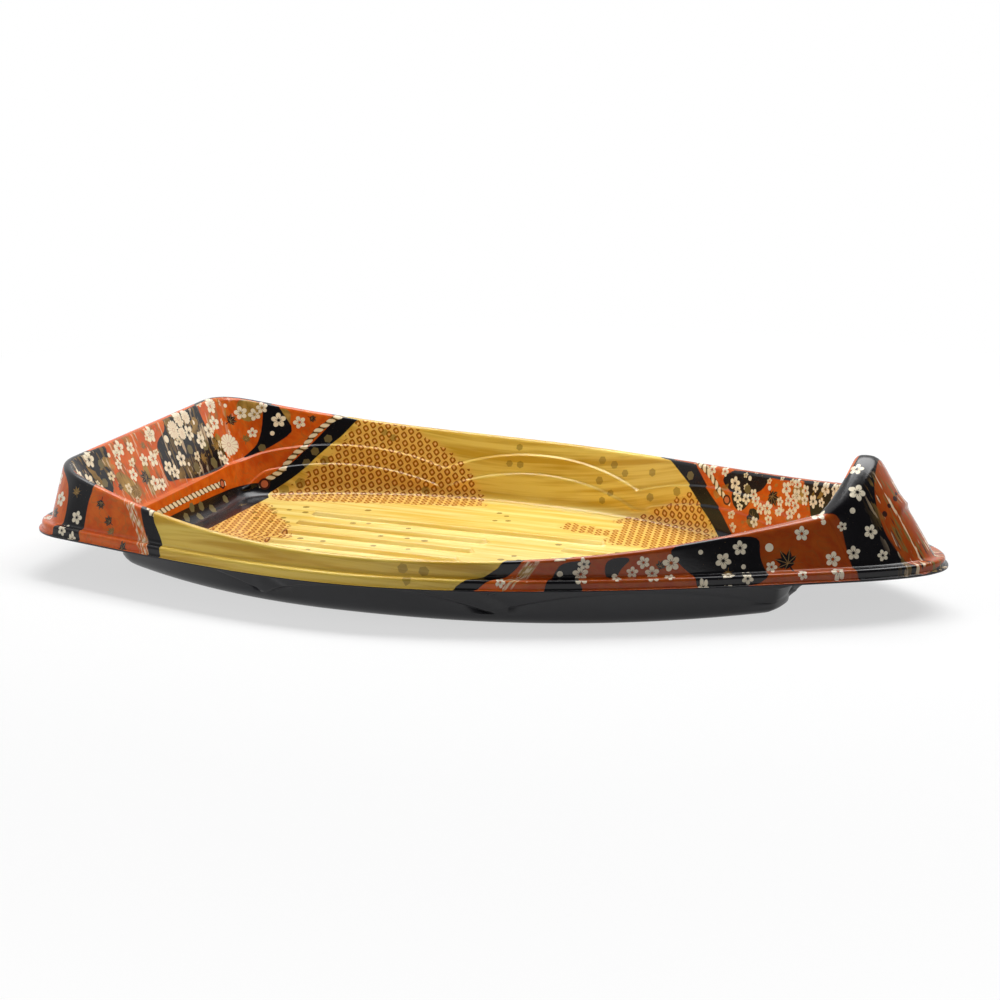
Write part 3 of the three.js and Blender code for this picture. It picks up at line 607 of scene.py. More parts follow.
printPlan = {
    "goldInside": [(66, -8), (66, 0), (70, 2.5), (78, 7), (84, 11), (89, 15), (94, 18.5), (100, 22.5), (104, 26),
                   (107.5, 29), (113, 34), (160, 44), (226, 40), (229, 30), (231, 26.5), (234, 24), (240, 20.5), (248, 16),
                   (255, 11), (262, 6.5), (271, 0), (276, -8)],
    "goldOutside": [(102, -3), (103, 0), (104.7, 5), (107.7, 9), (109.7, 13), (110.7, 18.5), (111, 32), (205, 32),
                    (207, 20), (209, 14.5), (212.7, 11.5), (217.7, 9), (224.7, 5), (230.5, 0), (233, -3)],
    "blackInside": [
        [(-80, 5.8), (-20, 6), (0, 6), (20, 5.8), (40, 5.5), (55, 5), (62, 5), (66, 5), (72, 8.3), (79, 13), (84, 17),
         (88.5, 20.3), (92, 23.3), (96, 26.8), (100, 29.6), (104, 32.5), (130, 36), (130, -10), (-80, -10)],
        [(-80, 46), (-32, 46), (-29, 38), (-32, 33), (-37.7, 23), (-44, 20), (-80, 22)],
        [(2, 31), (6, 33), (11, 34), (13, 37), (13.5, 44), (39, 44), (39.5, 36), (41, 31), (44, 27), (48.5, 22),
         (52, 15), (42, 13.4), (30, 13.8), (20, 14.4), (10, 16.5), (-1, 17), (1, 24)],
        [(72, 37), (77, 36), (79, 31), (80.5, 28), (82, 24.5), (70, 18), (62, 15.5), (58, 15), (62, 17), (66, 19.5),
         (69, 25), (70.5, 30)],
        [(287, -10), (280.3, 0.5), (273.3, 5.5), (267, 10.5), (259.2, 15), (251.5, 20.5), (246.5, 24.3), (244, 28),
         (240, 40), (222, 40), (222, -10)],
        [(281, 27.2), (288, 28), (293, 28.8), (298, 29.6), (302, 30.2), (304, 36), (282, 34)],
        [(261, 22.5), (266, 26), (269, 31), (286, 34), (285, 28), (284, 22), (277, 18.5), (270, 17.5), (264, 19.5)],
        [(302, 37), (304, 30), (308, 27.5), (312, 24), (316, 19), (322, 17), (336, 22), (346, 34), (340, 58), (318, 44)],
        [(322, 2), (334, 6), (346, 4), (352.4, 12), (375, 12), (375, -10), (318, -10)],
        [(269, 18.5), (273, 12.5), (278, 12), (281, 16), (281, 20)], [(281, 14), (284, 7.5), (288.5, 7), (289, 12.5), (285, 15)],
    ],
    "blackOutside": [
        [(96, -3), (97, 0), (98.7, 4), (101, 9), (105, 15), (106.2, 19), (107, 32), (130, 32), (130, -3)],
        [(79, 30), (76.5, 22), (75.5, 14), (75, 8), (76, 2.5), (72, -4), (38, -4), (38, 2.4), (58, 2.6), (64, 5), (66, 10),
         (67, 18), (65, 24), (65, 30)],
        [(240, -3), (236.5, 0), (231, 5), (225, 9), (220, 12), (215.5, 15), (213, 20), (207, 32), (190, 32), (190, -3)],
        [(234, 21), (247, 21), (244, 12), (248, 8.5), (256, 4), (246, 3.2), (239, 9), (235.5, 13)],
        [(252.5, 13.5), (256.5, 12.5), (260, 9), (268, 4), (260, 3.6), (255.5, 8)],
        [(304, 3), (308.7, 5), (304.5, 11), (302.7, 17), (303, 22), (292, 25), (281, 25), (279.5, 18), (278.5, 10),
         (279, 3), (288, 1)],
        [(331, -5), (331.5, 2.5), (334, 8), (332.5, 16), (331.5, 24), (332.5, 31), (334, 50), (346, 52), (343.5, 40),
         (342, 30), (341.5, 24), (342.5, 16), (345.5, 10), (352.4, 7.5), (375, 7.5), (375, -5)],
        [(344, 47), (352.4, 49), (375, 49), (375, 56), (344, 56)],
        [(-2, 4), (12, 3), (22, 8), (26, 16), (20, 26), (8, 24), (-2, 18)],
        [(38, 2), (50, 5), (54, 14), (50, 28), (40, 28), (36, 16)],
    ],
    "oliveInside": [
        [(60.5, 33), (62, 38), (70, 38), (72, 34), (70, 31), (66, 28.5), (62, 29.5)],
        [(77, 34), (82, 33), (81, 28), (79, 24.5), (77.5, 27)],
        [(44, 27), (48, 27), (50.5, 24), (50, 18), (48, 18), (46, 22)],
        [(-34, 27), (-29, 29), (-24, 24), (-20, 20), (-22, 16.5), (-28, 17), (-32, 21)],
        [(-16, 16), (-13, 27), (-9, 30), (-10, 20), (-12, 14.5)],
        [(299, 28), (303, 29.5), (308, 27), (312, 24), (309, 22.5), (304, 23), (300, 25)],
        [(272, 15), (277, 14.5), (282, 17), (278, 19), (273, 18)],
    ],
    "oliveOutside": [
        [(227, 9.5), (234, 4), (237, 4.5), (230, 10.5)],
    ],
    "knotsInside": [
        [(69, -8), (72, 0), (79, 4), (84, 8.5), (90, 13), (96, 17.5), (101, 21.5), (105.5, 26), (109, 30), (112, 36),
         (126, 36), (131, 24), (140, 18.5), (146, 14), (150, 10.5), (153, 5), (156, 0), (160, -8)],
        [(218, -8), (224, 0), (232, 3.2), (240, 7.5), (247, 13), (251, 14), (259, 8), (268, 1), (278, -8)],
    ],
    "knotsFloor": [
        [(-122, 58), (-116, 47), (-90, 54), (-60, 60), (-46, 63), (-42, 66), (-42, 73), (-60, 71), (-90, 62), (-116, 54)],
        [(-128, -60), (-84, -60), (-86, 0), (-94, 16), (-104, 27), (-114, 40), (-128, 42)],
        [(20, 67), (18, 60), (17, 50), (18, 38), (22, 34), (38, 34), (50, 42), (60, 50), (50, 56), (30, 64)],
        [(-4, 56), (10, 53), (18, 50), (18, 44), (8, 44), (-2, 47)],
    ],
    "bloomsInside": [
        (1, 35.3, 3.2), (4.5, 21.8, 2.8), (8, 19.5, 2.8), (15.7, 22.8, 3), (27.5, 30.5, 3), (34.5, 26, 3),
        (42.5, 28.5, 3), (48, 30.5, 3), (48.5, 37, 3), (62.2, 32.5, 2.6), (67.5, 31.5, 2.4), (71, 34, 2.2),
        (76.5, 29, 2.8), (65.2, 24.5, 2), (84.5, 28, 2.4), (46.5, 18.2, 2), (49, 16, 2), (-42.7, 36.8, 3),
        (-22, 35.5, 3), (-25, 34, 2.5), (-27, 30.5, 2), (-21, 25, 2.5), (-10, 28, 2.5), (-3.7, 27, 3), (-9.2, 18.8, 3),
        (-4.7, 17.5, 2.5), (-50, 30, 3), (-46, 25, 2.6), (-55, 34, 2.6), (-36, 17, 2.6), (-15, 34, 2.4),
        (268.5, 21.5, 2.5), (271.5, 18.8, 2), (280, 19.8, 2), (291.5, 16.2, 2.6), (296, 26, 2.6), (303, 25, 2.6),
        (304.5, 21.2, 2.4), (301, 29, 2.3), (306.8, 28, 2.2), (299.6, 22, 2.2), (308.5, 24.5, 2), (303.5, 17.6, 2.2),
        (295.5, 20.5, 1.8), (287.5, 15.2, 2.1), (284, 17.4, 2.1), (294, 12.4, 2), (287.5, 9.6, 2), (298, 16.6, 1.8),
        (276.2, 13.6, 1.6), (317.5, 31.5, 2.5), (313.5, 25.3, 2.4), (318.5, 26, 1.8), (311.5, 30.6, 1.7), (322.5, 33, 2),
        (255, 24, 2), (261.5, 24.6, 1.8), (274, 16.4, 2.1), (278.5, 17, 2.1), (325, 30, 2.6), (332, 20, 3),
        (340, 30, 3), (330, 38, 2.8), (348, 20, 3), (346, 42, 2.8), (337, 10, 2.6), (308, 10, 2.6), (298, 6, 2.4),
    ],
    "chrysanthsInside": [(17.5, 33.5, 3.8), (22.6, 31.4, 2.6), (23.4, 36.6, 3.2), (53.6, 21.2, 4.3), (28.6, 36.4, 2.8),
                         (49, 38, 2.6)],
    "budsInside": [(10.5, 31.5, 1.5), (9, 26.5, 1), (16, 28.8, 1), (56.5, 36, 0.8), (20, 20, 0.8), (33, 33.5, 0.9),
                   (73, 24, 0.9), (-17, 30, 0.9), (-30, 35, 0.9), (287, 24, 0.9), (309, 18, 0.9), (275, 25, 0.9)],
    "bloomsOutside": [
        (338.5, 20.2, 2.4), (333.3, 20.4, 2.3), (326.8, 18.4, 2.5), (321.6, 7.4, 2.4), (338.8, 29, 1.9), (305.6, 15.8, 1.9),
        (300.4, 7, 2.4), (292.4, 10.6, 2.6), (339.8, 7.6, 2.8), (345.7, 2.6, 2.4), (276.6, 8.6, 2.8), (268, 12, 2.3),
        (268.8, 7, 2.1), (262.5, 10.8, 1.9), (247, 9.6, 2.5), (251.3, 5.2, 2), (290, 18, 2.1), (296, 20.6, 1.9),
        (326, 24.6, 2.2), (314, 22.8, 1.6), (282, 21.5, 1.8), (272, 15.6, 1.8), (256, 14.4, 1.6), (222, 13.4, 1.6),
        (333.5, 11.3, 1.6), (71.7, 14.6, 2.3), (69, 22.6, 1.8), (73.6, 24, 1.6), (99.6, 21.4, 1.7),
        (62, 12, 2.6), (57, 7, 2.4), (48, 10, 3), (44, 20, 2.6), (30, 8, 3), (22, 18, 2.8), (12, 10, 3), (4, 22, 2.6),
        (33, 24, 2.6), (15, 27, 2.2), (55, 22, 2.2), (3, 6, 2.2),
    ],
    "budsOutside": [(309.2, 9, 1.4), (336.7, 10.5, 1), (288, 6, 0.8), (297, 14, 0.8), (241, 9, 1), (256, 12, 0.9),
                    (330, 6, 0.9), (314, 21, 1)],
    "darkLeavesInside": [(-13.5, 22, 4), (290, 21.5, 4.5), (285.5, 11, 2.5), (89.5, 29.5, 2), (57, 30, 3.2), (-32.7, 23, 2)],
    "oliveLeavesInside": [(-24, 20, 4), (31.8, 20, 3), (45.5, 22, 3.4), (-6, 32.5, 2.2), (62, 22, 2.4), (312, 14, 3)],
    "darkLeavesOutside": [(94.7, 20, 2.6), (85.8, 11, 2.6), (80.6, 6.2, 2.7), (311.6, 15.8, 4.8), (272.4, 9.6, 2.4), (60, 18, 3)],
    "oliveLeavesOutside": [(290.6, 15.6, 2), (87.6, 14, 2.4), (69, 7, 2.2), (18, 6, 3)],
    # painted shade: dark dots where small pits sit above the stem's lug
    "pitShadesOutside": [(343.8, 20.3, 1.0), (346.2, 20, 0.8), (349.4, 20.5, 1.0), (351.2, 20.1, 0.7)],
    "flecksInside": [
        (24.5, 24.7, 2), (36.3, 24.3, 2.5), (25, 17.7, 2.2), (39.5, 16.7, 2.4), (-37.4, 33.5, 1.8), (-41, 27, 1.8),
        (67.8, 18.5, 1.6), (94.5, 21.5, 1.7), (88, 16.5, 1.7), (84, 12, 1.8), (245.8, 19.8, 1.8), (276, 20.8, 1.8),
        (3, 3, 2), (10, 5.4, 2), (18, 4.3, 2), (26, 1.4, 2), (13, 0.8, 1.8), (-12, 3.4, 2), (-24, 2.6, 2), (40, 2.6, 1.8),
    ],
    "goldFlecksInside": [(170, 21), (166.5, 14.5), (171, 14.5), (205, 19.5), (210.5, 18.5), (206, 12), (216, 16), (228, 18),
                         (231, 9), (209, 5), (212, 8), (243, 13), (117, 24), (120, 22), (73, 2, 2.2), (80, 4.5, 2.2),
                         (91.5, 13, 2), (131, 2.4, 1.7)],
    "flecksOutside": [(200.7, 6.5), (194.7, 5.5), (194.7, 11.5), (67.7, 8), (262, 16), (285, 8)],
    "flecksFloor": [
        (-99, 41), (-106, 29), (-109, 34), (-103, 35), (-96, 34), (-113, 27), (-100, 24), (-109, 20), (-102, 18),
        (-96, 19), (-76, 45), (-30, 59), (-26, 56), (-23, 50), (-27.5, 48.5), (-73.5, 26.5), (-68, 28), (-52, 27),
        (-47, 14.5), (-40, 13.8), (-57, 14), (-82, 0.7), (-73, 0.3), (-54, 1.2), (-41, 1.7), (-76, -2.9), (-86, -11.5),
        (-73, -12), (5.5, 26.5), (-3.5, 7), (-6, 1), (0, 2.5), (30, 20), (48, 8), (36, -6), (10, -20), (-20, -30),
        (-60, -40), (-84, -30), (22, -38), (-38, -52), (56, 24), (62, -10), (-110, -14), (-98, -38),
    ],
    "eyeletsInside": [(65.5, 4.5, 2.2), (40.5, 8.3, 1.9), (268.5, 14.6, 1.9)],
    "cordsInside": [
        [(67, 6), (71, 8), (73.5, 9.5), (77, 13), (80.5, 16), (84, 18), (87, 21), (90, 24), (93.5, 26.2), (97.5, 28.8),
         (101, 30.6), (104, 32)],
        [(247, 26), (249, 24.8), (253.5, 22.6), (257.5, 20.4), (261, 18.2), (264.5, 16.6), (267.5, 15.2)],
    ],
    "cordAcross": [(-39.5, 8.4), (-15, 9), (10, 9), (30, 8.8), (39.5, 8.4)],
    "cordsOutside": [
        [(105, 20), (102.7, 15), (99.2, 10), (95.2, 5), (93, 2.6)], [(225, 13), (228.5, 10), (232, 7), (236.5, 3.2)],
    ],
    "knotStepA": (3.4, -15.0), "knotStepB": (3.3, 40.0),
}


def layOut(face, grid):
    rows, n = face["rows"], face["n"]
    points = face["points"]
    around = np.broadcast_to(grid["around"], (rows, n)).ravel()
    place = grid["place"].ravel()
    length = np.broadcast_to(grid["wallLength"], (rows, n)).ravel()
    outside = place > length
    alongIn = np.where(around > -62, around, -around)
    inPoints = np.stack([alongIn, place], 1)
    outPoints = np.stack([np.abs(around), place - length], 1)
    floor = points[rows * n:, :2]

    def zone(insideLoops, outsideLoops, soften=True):
        inField = np.max([edgeDistance(inPoints, softened(l) if soften else l) for l in insideLoops], axis=0)
        outField = np.max([edgeDistance(outPoints, softened(l) if soften else l) for l in outsideLoops], axis=0)
        return np.where(outside, outField, inField)

    plan = printPlan
    goldWall = zone([plan["goldInside"]], [plan["goldOutside"]], False)
    blackWall = zone(plan["blackInside"], plan["blackOutside"])
    oliveWall = zone(plan["oliveInside"], plan["oliveOutside"])
    # the same boundaries run on across the floor
    loop = grid["grid"][0]
    sternLine = np.interp(66, grid["around"][:n // 2], loop[:n // 2, 0])
    bowEdge = np.array([np.interp(271, grid["around"][:n // 2], loop[:n // 2, k]) for k in (0, 1)])
    bowLine = bowEdge[0] + 26 * (1 - (floor[:, 1] / bowEdge[1]) ** 2)
    goldFloor = np.minimum(floor[:, 0] - sternLine, bowLine - floor[:, 0])
    blackFloor = np.maximum(sternLine - floor[:, 0], np.minimum(floor[:, 0] - bowLine + 2, bowLine + 8 - floor[:, 0]))
    # flat coordinates of the sheet before it was formed
    base = loop[:, :2] + grid["floorOut"] * tray["fillet"]
    flat = base[None] + grid["floorOut"][None] * grid["place"][..., None]
    flat = np.concatenate([flat.reshape(-1, 2), floor])
    mirrored = np.stack([flat[:, 0], np.abs(flat[:, 1])], 1)
    steps = [np.array([d * math.cos(math.radians(a)), d * math.sin(math.radians(a))]) for d, a in (plan["knotStepA"], plan["knotStepB"])]
    lattice = mirrored @ np.linalg.inv(np.array(steps))

    def toFlat(loop):
        far = slice(0, n // 2 + 1)
        along, up = np.array(loop, float).T
        foot, away = ([np.interp(along, grid["around"][far], v[far, k]) for k in (0, 1)] for v in (base, grid["floorOut"]))
        return np.stack([foot[0] + away[0] * up, foot[1] + away[1] * up], 1)

    # a knot is printed whole or not at all, as its middle lies in a patch or not
    patches = [toFlat(l) for l in plan["knotsInside"]] + plan["knotsFloor"]
    inPatch, whole = (np.max([edgeDistance(p, l) for l in patches], axis=0) for p in (mirrored, np.round(lattice) @ np.array(steps)))
    inPatch[:rows * n][outside] = whole[:rows * n][outside] = -9

    # where small blossoms are strewn, and where forming drew the print out into streaks
    reach, out = np.abs(around), place - length
    strewn = np.where(outside, 0, np.where(reach < 130, ease(place, 15, 16.5) * (1 - ease(reach, 56, 60)), 1))
    side = np.where(around > 0, 1, -1)
    stem = outside * ease(reach, 339, 345) * ease(out, 7, 12)
    transom = ~outside * ease(place, 13, 17) * (1 - ease(reach, 50, 58)) * 0.6
    across = np.where(outside, side * (reach - grid["rimLength"] / 2) * 1.7, around)
    # painted shade: towards the bow the outer skirt's orange is darkened to brown, standing in for the shade it lies in
    paintedBowShade = outside * ease(reach, 215, 240)

    def withFloor(values, floorValue):
        return np.r_[values, np.full(len(floor), floorValue)]

    return flat, {
        "printZones": np.stack([np.r_[goldWall, goldFloor], np.r_[blackWall, blackFloor], withFloor(oliveWall, -9.0)], 1),
        "knotPlace": np.c_[lattice, whole],
        # the third value of sheetPlace carries the painted shade of the bow's outer skirt
        "sheetPlace": np.c_[mirrored, withFloor(paintedBowShade, 0)],
        # the third value of patchPlace is the share of painted shade that deepens the gold, rising from the floor's
        # edge onto the wall
        "patchPlace": np.stack([inPatch, withFloor(strewn, 1), withFloor(ease(place, 0, 4), 0)], 1),
        "streakPlace": np.stack([withFloor(across, 0), withFloor(np.where(outside, out, place), 0), withFloor(np.maximum(stem, transom), 0)], 1),
    }


def spot(grid, along, up, outside):
    total = grid["rimLength"]
    n = grid["grid"].shape[1]
    gone = np.where(grid["around"] < 0, grid["around"] + total, grid["around"])
    along = along % total
    before = int(np.searchsorted(gone, along, side="right")) - 1
    after = (before + 1) % n
    span = (gone[after] if after else total) - gone[before]
    share = (along - gone[before]) / span
    column = grid["grid"][:, before] * (1 - share) + grid["grid"][:, after] * share
    place = grid["place"][:, before] * (1 - share) + grid["place"][:, after] * share
    if outside:
        up = up + grid["wallLength"][before] * (1 - share) + grid["wallLength"][after] * share
    return np.array([np.interp(up, place, column[:, k]) for k in range(3)])


def spotFrame(grid, along, up, outside, reach=0.9):
    here = spot(grid, along, up, outside)
    on = unit(spot(grid, along + reach, up, outside) - spot(grid, along - reach, up, outside))
    rise = spot(grid, along, up + reach, outside) - spot(grid, along, up - reach, outside)
    normal = unit(np.cross(on, rise))
    return here, on, np.cross(normal, on), normal


def cornerTable(face):
    starts = np.r_[0, np.cumsum(face["sizes"])[:-1]]
    table = starts[:, None] + np.arange(4)[None]
    table[face["sizes"] == 3, 3] = -1
    return table


def placeFigures(face, table, figures):
    local = np.full((len(face["corners"]), 3), 9.0)
    best = np.full(len(face["sizes"]), np.inf)
    for (here, on, rise, normal), size, turn, kind in figures:
        away = np.linalg.norm(face["faceMids"] - here, axis=1)
        near = (away < 1.35 * size + 1.8) & (face["faceNormals"] @ normal > 0.35) & (away / size < best)
        best[near] = away[near] / size
        index = table[near]
        index = index[index >= 0]
        offset = face["points"][face["corners"][index]] - here
        a, b = math.cos(turn), math.sin(turn)
        local[index] = np.stack([offset @ (on * a + rise * b) / size, offset @ (rise * a - on * b) / size,
                                 np.full(len(index), float(kind))], 1)
    return local


def placeCords(face, table, cords):
    local = np.full((len(face["corners"]), 3), 9.0)
    best = np.full(len(face["sizes"]), 4.0)
    for line, faint in cords:
        gone = 0.0
        for (start, _, _, normal), (end, _, _, _) in zip(line[:-1], line[1:]):
            run = end - start
            size = np.linalg.norm(run)
            run = run / size
            side = unit(np.cross(normal, run))
            offset = face["faceMids"] - start
            share = np.clip(offset @ run, 0, size)
            away = np.linalg.norm(offset - share[:, None] * run, axis=1)
            near = (away < best) & (face["faceNormals"] @ normal > 0.35)
            best[near] = away[near]
            index = table[near]
            index = index[index >= 0]
            offset = face["points"][face["corners"][index]] - start
            local[index] = np.stack([gone + offset @ run, offset @ side, np.full(len(index), faint)], 1)
            gone += size
    return local


def figureLists(grid):
    plan = printPlan
    dice = np.random.default_rng(7)

    def both(along):
        return (along, -along) if abs(along) > 58 else (along,)

    def wallFigures(items, outside, size, kind):
        made = []
        for item in items:
            turn = dice.uniform(0, 6.28)
            radius = item[2] if len(item) > 2 else size * dice.uniform(0.85, 1.15)
            for along in ((item[0], -item[0]) if outside else both(item[0])):
                made.append((spotFrame(grid, along, item[1], outside), radius, turn, kind))
        return made

    def floorFigures(items, size, kind):
        return [((np.array([x, y, tray["sheet"]]), np.array([1.0, 0, 0]), np.array([0, 1.0, 0]), np.array([0, 0, 1.0])),
                 size * dice.uniform(0.8, 1.15), dice.uniform(0, 6.28), kind) for x, y in items]

    def cordPoints(line, outside, side=1, step=1.5):
        line = np.array(line, float)
        gone = np.r_[0, np.cumsum(np.hypot(*np.diff(line, axis=0).T))]
        at = np.arange(0, gone[-1], step)
        return [spotFrame(grid, side * s, t, outside) for s, t in zip(np.interp(at, gone, line[:, 0]), np.interp(at, gone, line[:, 1]))]

    blooms = wallFigures(plan["bloomsInside"], False, 2.6, 0) + wallFigures(plan["bloomsOutside"], True, 2.4, 0)
    blooms += wallFigures(plan["chrysanthsInside"], False, 3, 1) + wallFigures(plan["pitShadesOutside"], True, 1, 4)
    blooms += wallFigures(plan["budsInside"], False, 1, 2) + wallFigures(plan["budsOutside"], True, 1, 2)
    blooms += wallFigures(plan["eyeletsInside"], False, 2, 3)
    leaves = wallFigures(plan["darkLeavesInside"], False, 3, 0) + wallFigures(plan["darkLeavesOutside"], True, 3, 0)
    leaves += wallFigures(plan["oliveLeavesInside"], False, 3, 1) + wallFigures(plan["oliveLeavesOutside"], True, 3, 1)
    flecks = wallFigures(plan["flecksInside"], False, 1.8, 0) + wallFigures(plan["goldFlecksInside"], False, 1.6, 1)
    flecks += wallFigures(plan["flecksOutside"], True, 1.7, 1) + floorFigures(plan["flecksFloor"], 1.3, 2)
    cords = [(cordPoints(line, False, side), 0.0) for line in plan["cordsInside"] for side in (1, -1)]
    cords.append((cordPoints(plan["cordAcross"], False), 0.0))
    cords += [(cordPoints(line, True, side), 1.0) for line in plan["cordsOutside"] for side in (1, -1)]
    return blooms, leaves, flecks, cords


def keepOnMesh(mesh, name, values, domain):
    layer = mesh.attributes.new(name, "FLOAT_VECTOR", domain)
    layer.data.foreach_set("vector", np.ascontiguousarray(values, dtype=np.float32).ravel())


def keepFlatMap(mesh, flat, face):
    low, high = flat.min(0), flat.max(0)
    corner = np.empty(len(mesh.loops), np.int32)
    mesh.loops.foreach_get("vertex_index", corner)
    upper = len(face["corners"])
    across = 0.004 + 0.992 * (flat - low) / (high - low)
    spread = across[corner % len(flat)]
    spread[:upper, 1] = 0.2 + 0.8 * spread[:upper, 1]  # the printed side takes most of the map
    spread[upper:, 1] = 0.02 + 0.17 * spread[upper:, 1]
    count = face["n"]
    step = np.arange(count)[:, None]
    edge = np.stack([np.c_[step, step + 1, step + 1, step] / count, np.broadcast_to([0.002, 0.002, 0.014, 0.014], (count, 4))], -1)
    spread[2 * upper:] = edge.reshape(-1, 2)
    mesh.uv_layers.new(name="OFBake").data.foreach_set("uv", spread.astype(np.float32).ravel())


def printFilm(piece, face, grid):
    mesh = piece.data
    flat, kept = layOut(face, grid)
    keepFlatMap(mesh, flat, face)
    for name, values in kept.items():
        keepOnMesh(mesh, name, np.concatenate([values, values]), "POINT")
    table = cornerTable(face)
    blooms, leaves, flecks, cords = figureLists(grid)
    placed = {
        "bloomPlace": placeFigures(face, table, blooms), "leafPlace": placeFigures(face, table, leaves),
        "fleckPlace": placeFigures(face, table, flecks), "cordPlace": placeCords(face, table, cords),
    }
    for name, values in placed.items():
        padded = np.full((len(mesh.loops), 3), 9.0)
        padded[:len(values)] = values
        keepOnMesh(mesh, name, padded, "CORNER")
    print("print: %d blossoms, %d leaves, %d flakes, %d cords" % (len(blooms), len(leaves), len(flecks), len(cords)))


printFilm(film, upperFace, faceGrid)

# Materials


def tone(red, green, blue):
    parts = [v / 255 for v in (red, green, blue)]
    return tuple(v / 12.92 if v <= 0.04045 else ((v + 0.055) / 1.055) ** 2.4 for v in parts) + (1,)


class Pen:
    def __init__(self, name):
        self.paint = bpy.data.materials.new(name)
        self.paint.use_nodes = True
        self.nodes, self.links = self.paint.node_tree.nodes, self.paint.node_tree.links
        self.surface = self.nodes["Principled BSDF"]

    def feed(self, socket, value):
        if isinstance(value, bpy.types.NodeSocket):
            self.links.new(value, socket)
        else:
            socket.default_value = value

    def calc(self, kind, *values):
        node = self.nodes.new("ShaderNodeMath")
        node.operation = kind
        for socket, value in zip(node.inputs, values):
            self.feed(socket, value)
        return node.outputs[0]

    def blend(self, share, first, second):
        node = self.nodes.new("ShaderNodeMix")
        node.data_type = "RGBA"
        self.feed(node.inputs[0], share)
        self.feed(node.inputs[6], first)
        self.feed(node.inputs[7], second)
        return node.outputs[2]

    def between(self, value, low, high):
        node = self.nodes.new("ShaderNodeMapRange")
        self.feed(node.inputs[0], value)
        node.inputs[1].default_value, node.inputs[2].default_value = low, high
        return node.outputs[0]

    def kept(self, name):
        node = self.nodes.new("ShaderNodeAttribute")
        node.attribute_name = name
        parts = self.nodes.new("ShaderNodeSeparateXYZ")
        self.links.new(node.outputs["Vector"], parts.inputs[0])
        return parts.outputs

    def join(self, x, y, z=0.0):
        node = self.nodes.new("ShaderNodeCombineXYZ")
        for socket, value in zip(node.inputs, (x, y, z)):
            self.feed(socket, value)
        return node.outputs[0]

    def noise(self, vector, scale, detail=2.0, rough=0.5):
        node = self.nodes.new("ShaderNodeTexNoise")
        self.feed(node.inputs["Vector"], vector)
        node.inputs["Scale"].default_value = scale
        node.inputs["Detail"].default_value = detail
        node.inputs["Roughness"].default_value = rough
        return node.outputs[0]

    def isKind(self, kind, wanted):
        return self.calc("COMPARE", kind, float(wanted), 0.3)


def bloomShape(pen, x, y):
    away = pen.calc("SQRT", pen.calc("ADD", pen.calc("MULTIPLY", x, x), pen.calc("MULTIPLY", y, y)))
    turn = pen.calc("MULTIPLY", pen.calc("ARCTAN2", y, x), 5 / (2 * math.pi))
    turn = pen.calc("MULTIPLY", pen.calc("ABSOLUTE", pen.calc("SUBTRACT", turn, pen.calc("ROUND", turn))), 2 * math.pi / 5)
    fx, fy = pen.calc("MULTIPLY", away, pen.calc("COSINE", turn)), pen.calc("MULTIPLY", away, pen.calc("SINE", turn))
    dx, dy = pen.calc("SUBTRACT", fx, 0.6), pen.calc("MULTIPLY", fy, 1.2)
    petal = pen.calc("SQRT", pen.calc("ADD", pen.calc("MULTIPLY", dx, dx), pen.calc("MULTIPLY", dy, dy)))
    flower = pen.between(petal, 0.44, 0.38)
    split = pen.calc("MULTIPLY", pen.between(turn, 0.55, 0.6), pen.between(away, 0.3, 0.36))
    heart = pen.between(away, 0.26, 0.18)
    stamen = pen.calc("MULTIPLY", pen.between(fy, 0.05, 0.03), pen.between(away, 0.46, 0.42))
    mark = pen.calc("MULTIPLY", pen.calc("MAXIMUM", pen.calc("MAXIMUM", heart, stamen), split), flower)
    return away, flower, mark


def bloomMasks(pen):
    x, y, kind = pen.kept("bloomPlace")
    away, flower, mark = bloomShape(pen, x, y)
    isFlower = pen.isKind(kind, 0)
    disc = pen.between(away, 1.0, 0.94)
    isChrysanth, isBud, isEye, isPitShade = (pen.isKind(kind, k) for k in (1, 2, 3, 4))
    # a chrysanthemum has fourteen narrow petals with rounded tips
    turn = pen.calc("MULTIPLY", pen.calc("ARCTAN2", y, x), 14 / (2 * math.pi))
    turn = pen.calc("MULTIPLY", pen.calc("ABSOLUTE", pen.calc("SUBTRACT", turn, pen.calc("ROUND", turn))), 2.0)
    tips = pen.between(pen.calc("ADD", away, pen.calc("MULTIPLY", pen.calc("POWER", turn, 3.0), 0.16)), 1.0, 0.94)
    lines = pen.calc("MULTIPLY", pen.between(turn, 0.62, 0.9), pen.between(away, 0.26, 0.32))
    heart = pen.calc("MULTIPLY", pen.between(away, 0.26, 0.22), pen.between(away, 0.1, 0.14))
    petals = pen.calc("MAXIMUM", pen.calc("MULTIPLY", flower, isFlower), pen.calc("MULTIPLY", tips, isChrysanth))
    return {
        "cream": pen.calc("MAXIMUM", petals, pen.calc("MULTIPLY", disc, isBud)),
        "mark": pen.calc("MULTIPLY", mark, isFlower),
        "lines": pen.calc("MULTIPLY", pen.calc("MULTIPLY", pen.calc("MAXIMUM", lines, heart), tips), isChrysanth),
        "eyelet": pen.calc("MULTIPLY", disc, isEye),
        "hole": pen.calc("MULTIPLY", pen.between(away, 0.66, 0.6), isEye),
        # the spot mask is painted shade in the small pits above the stem's lug
        "spot": pen.calc("MULTIPLY", disc, isPitShade),
    }


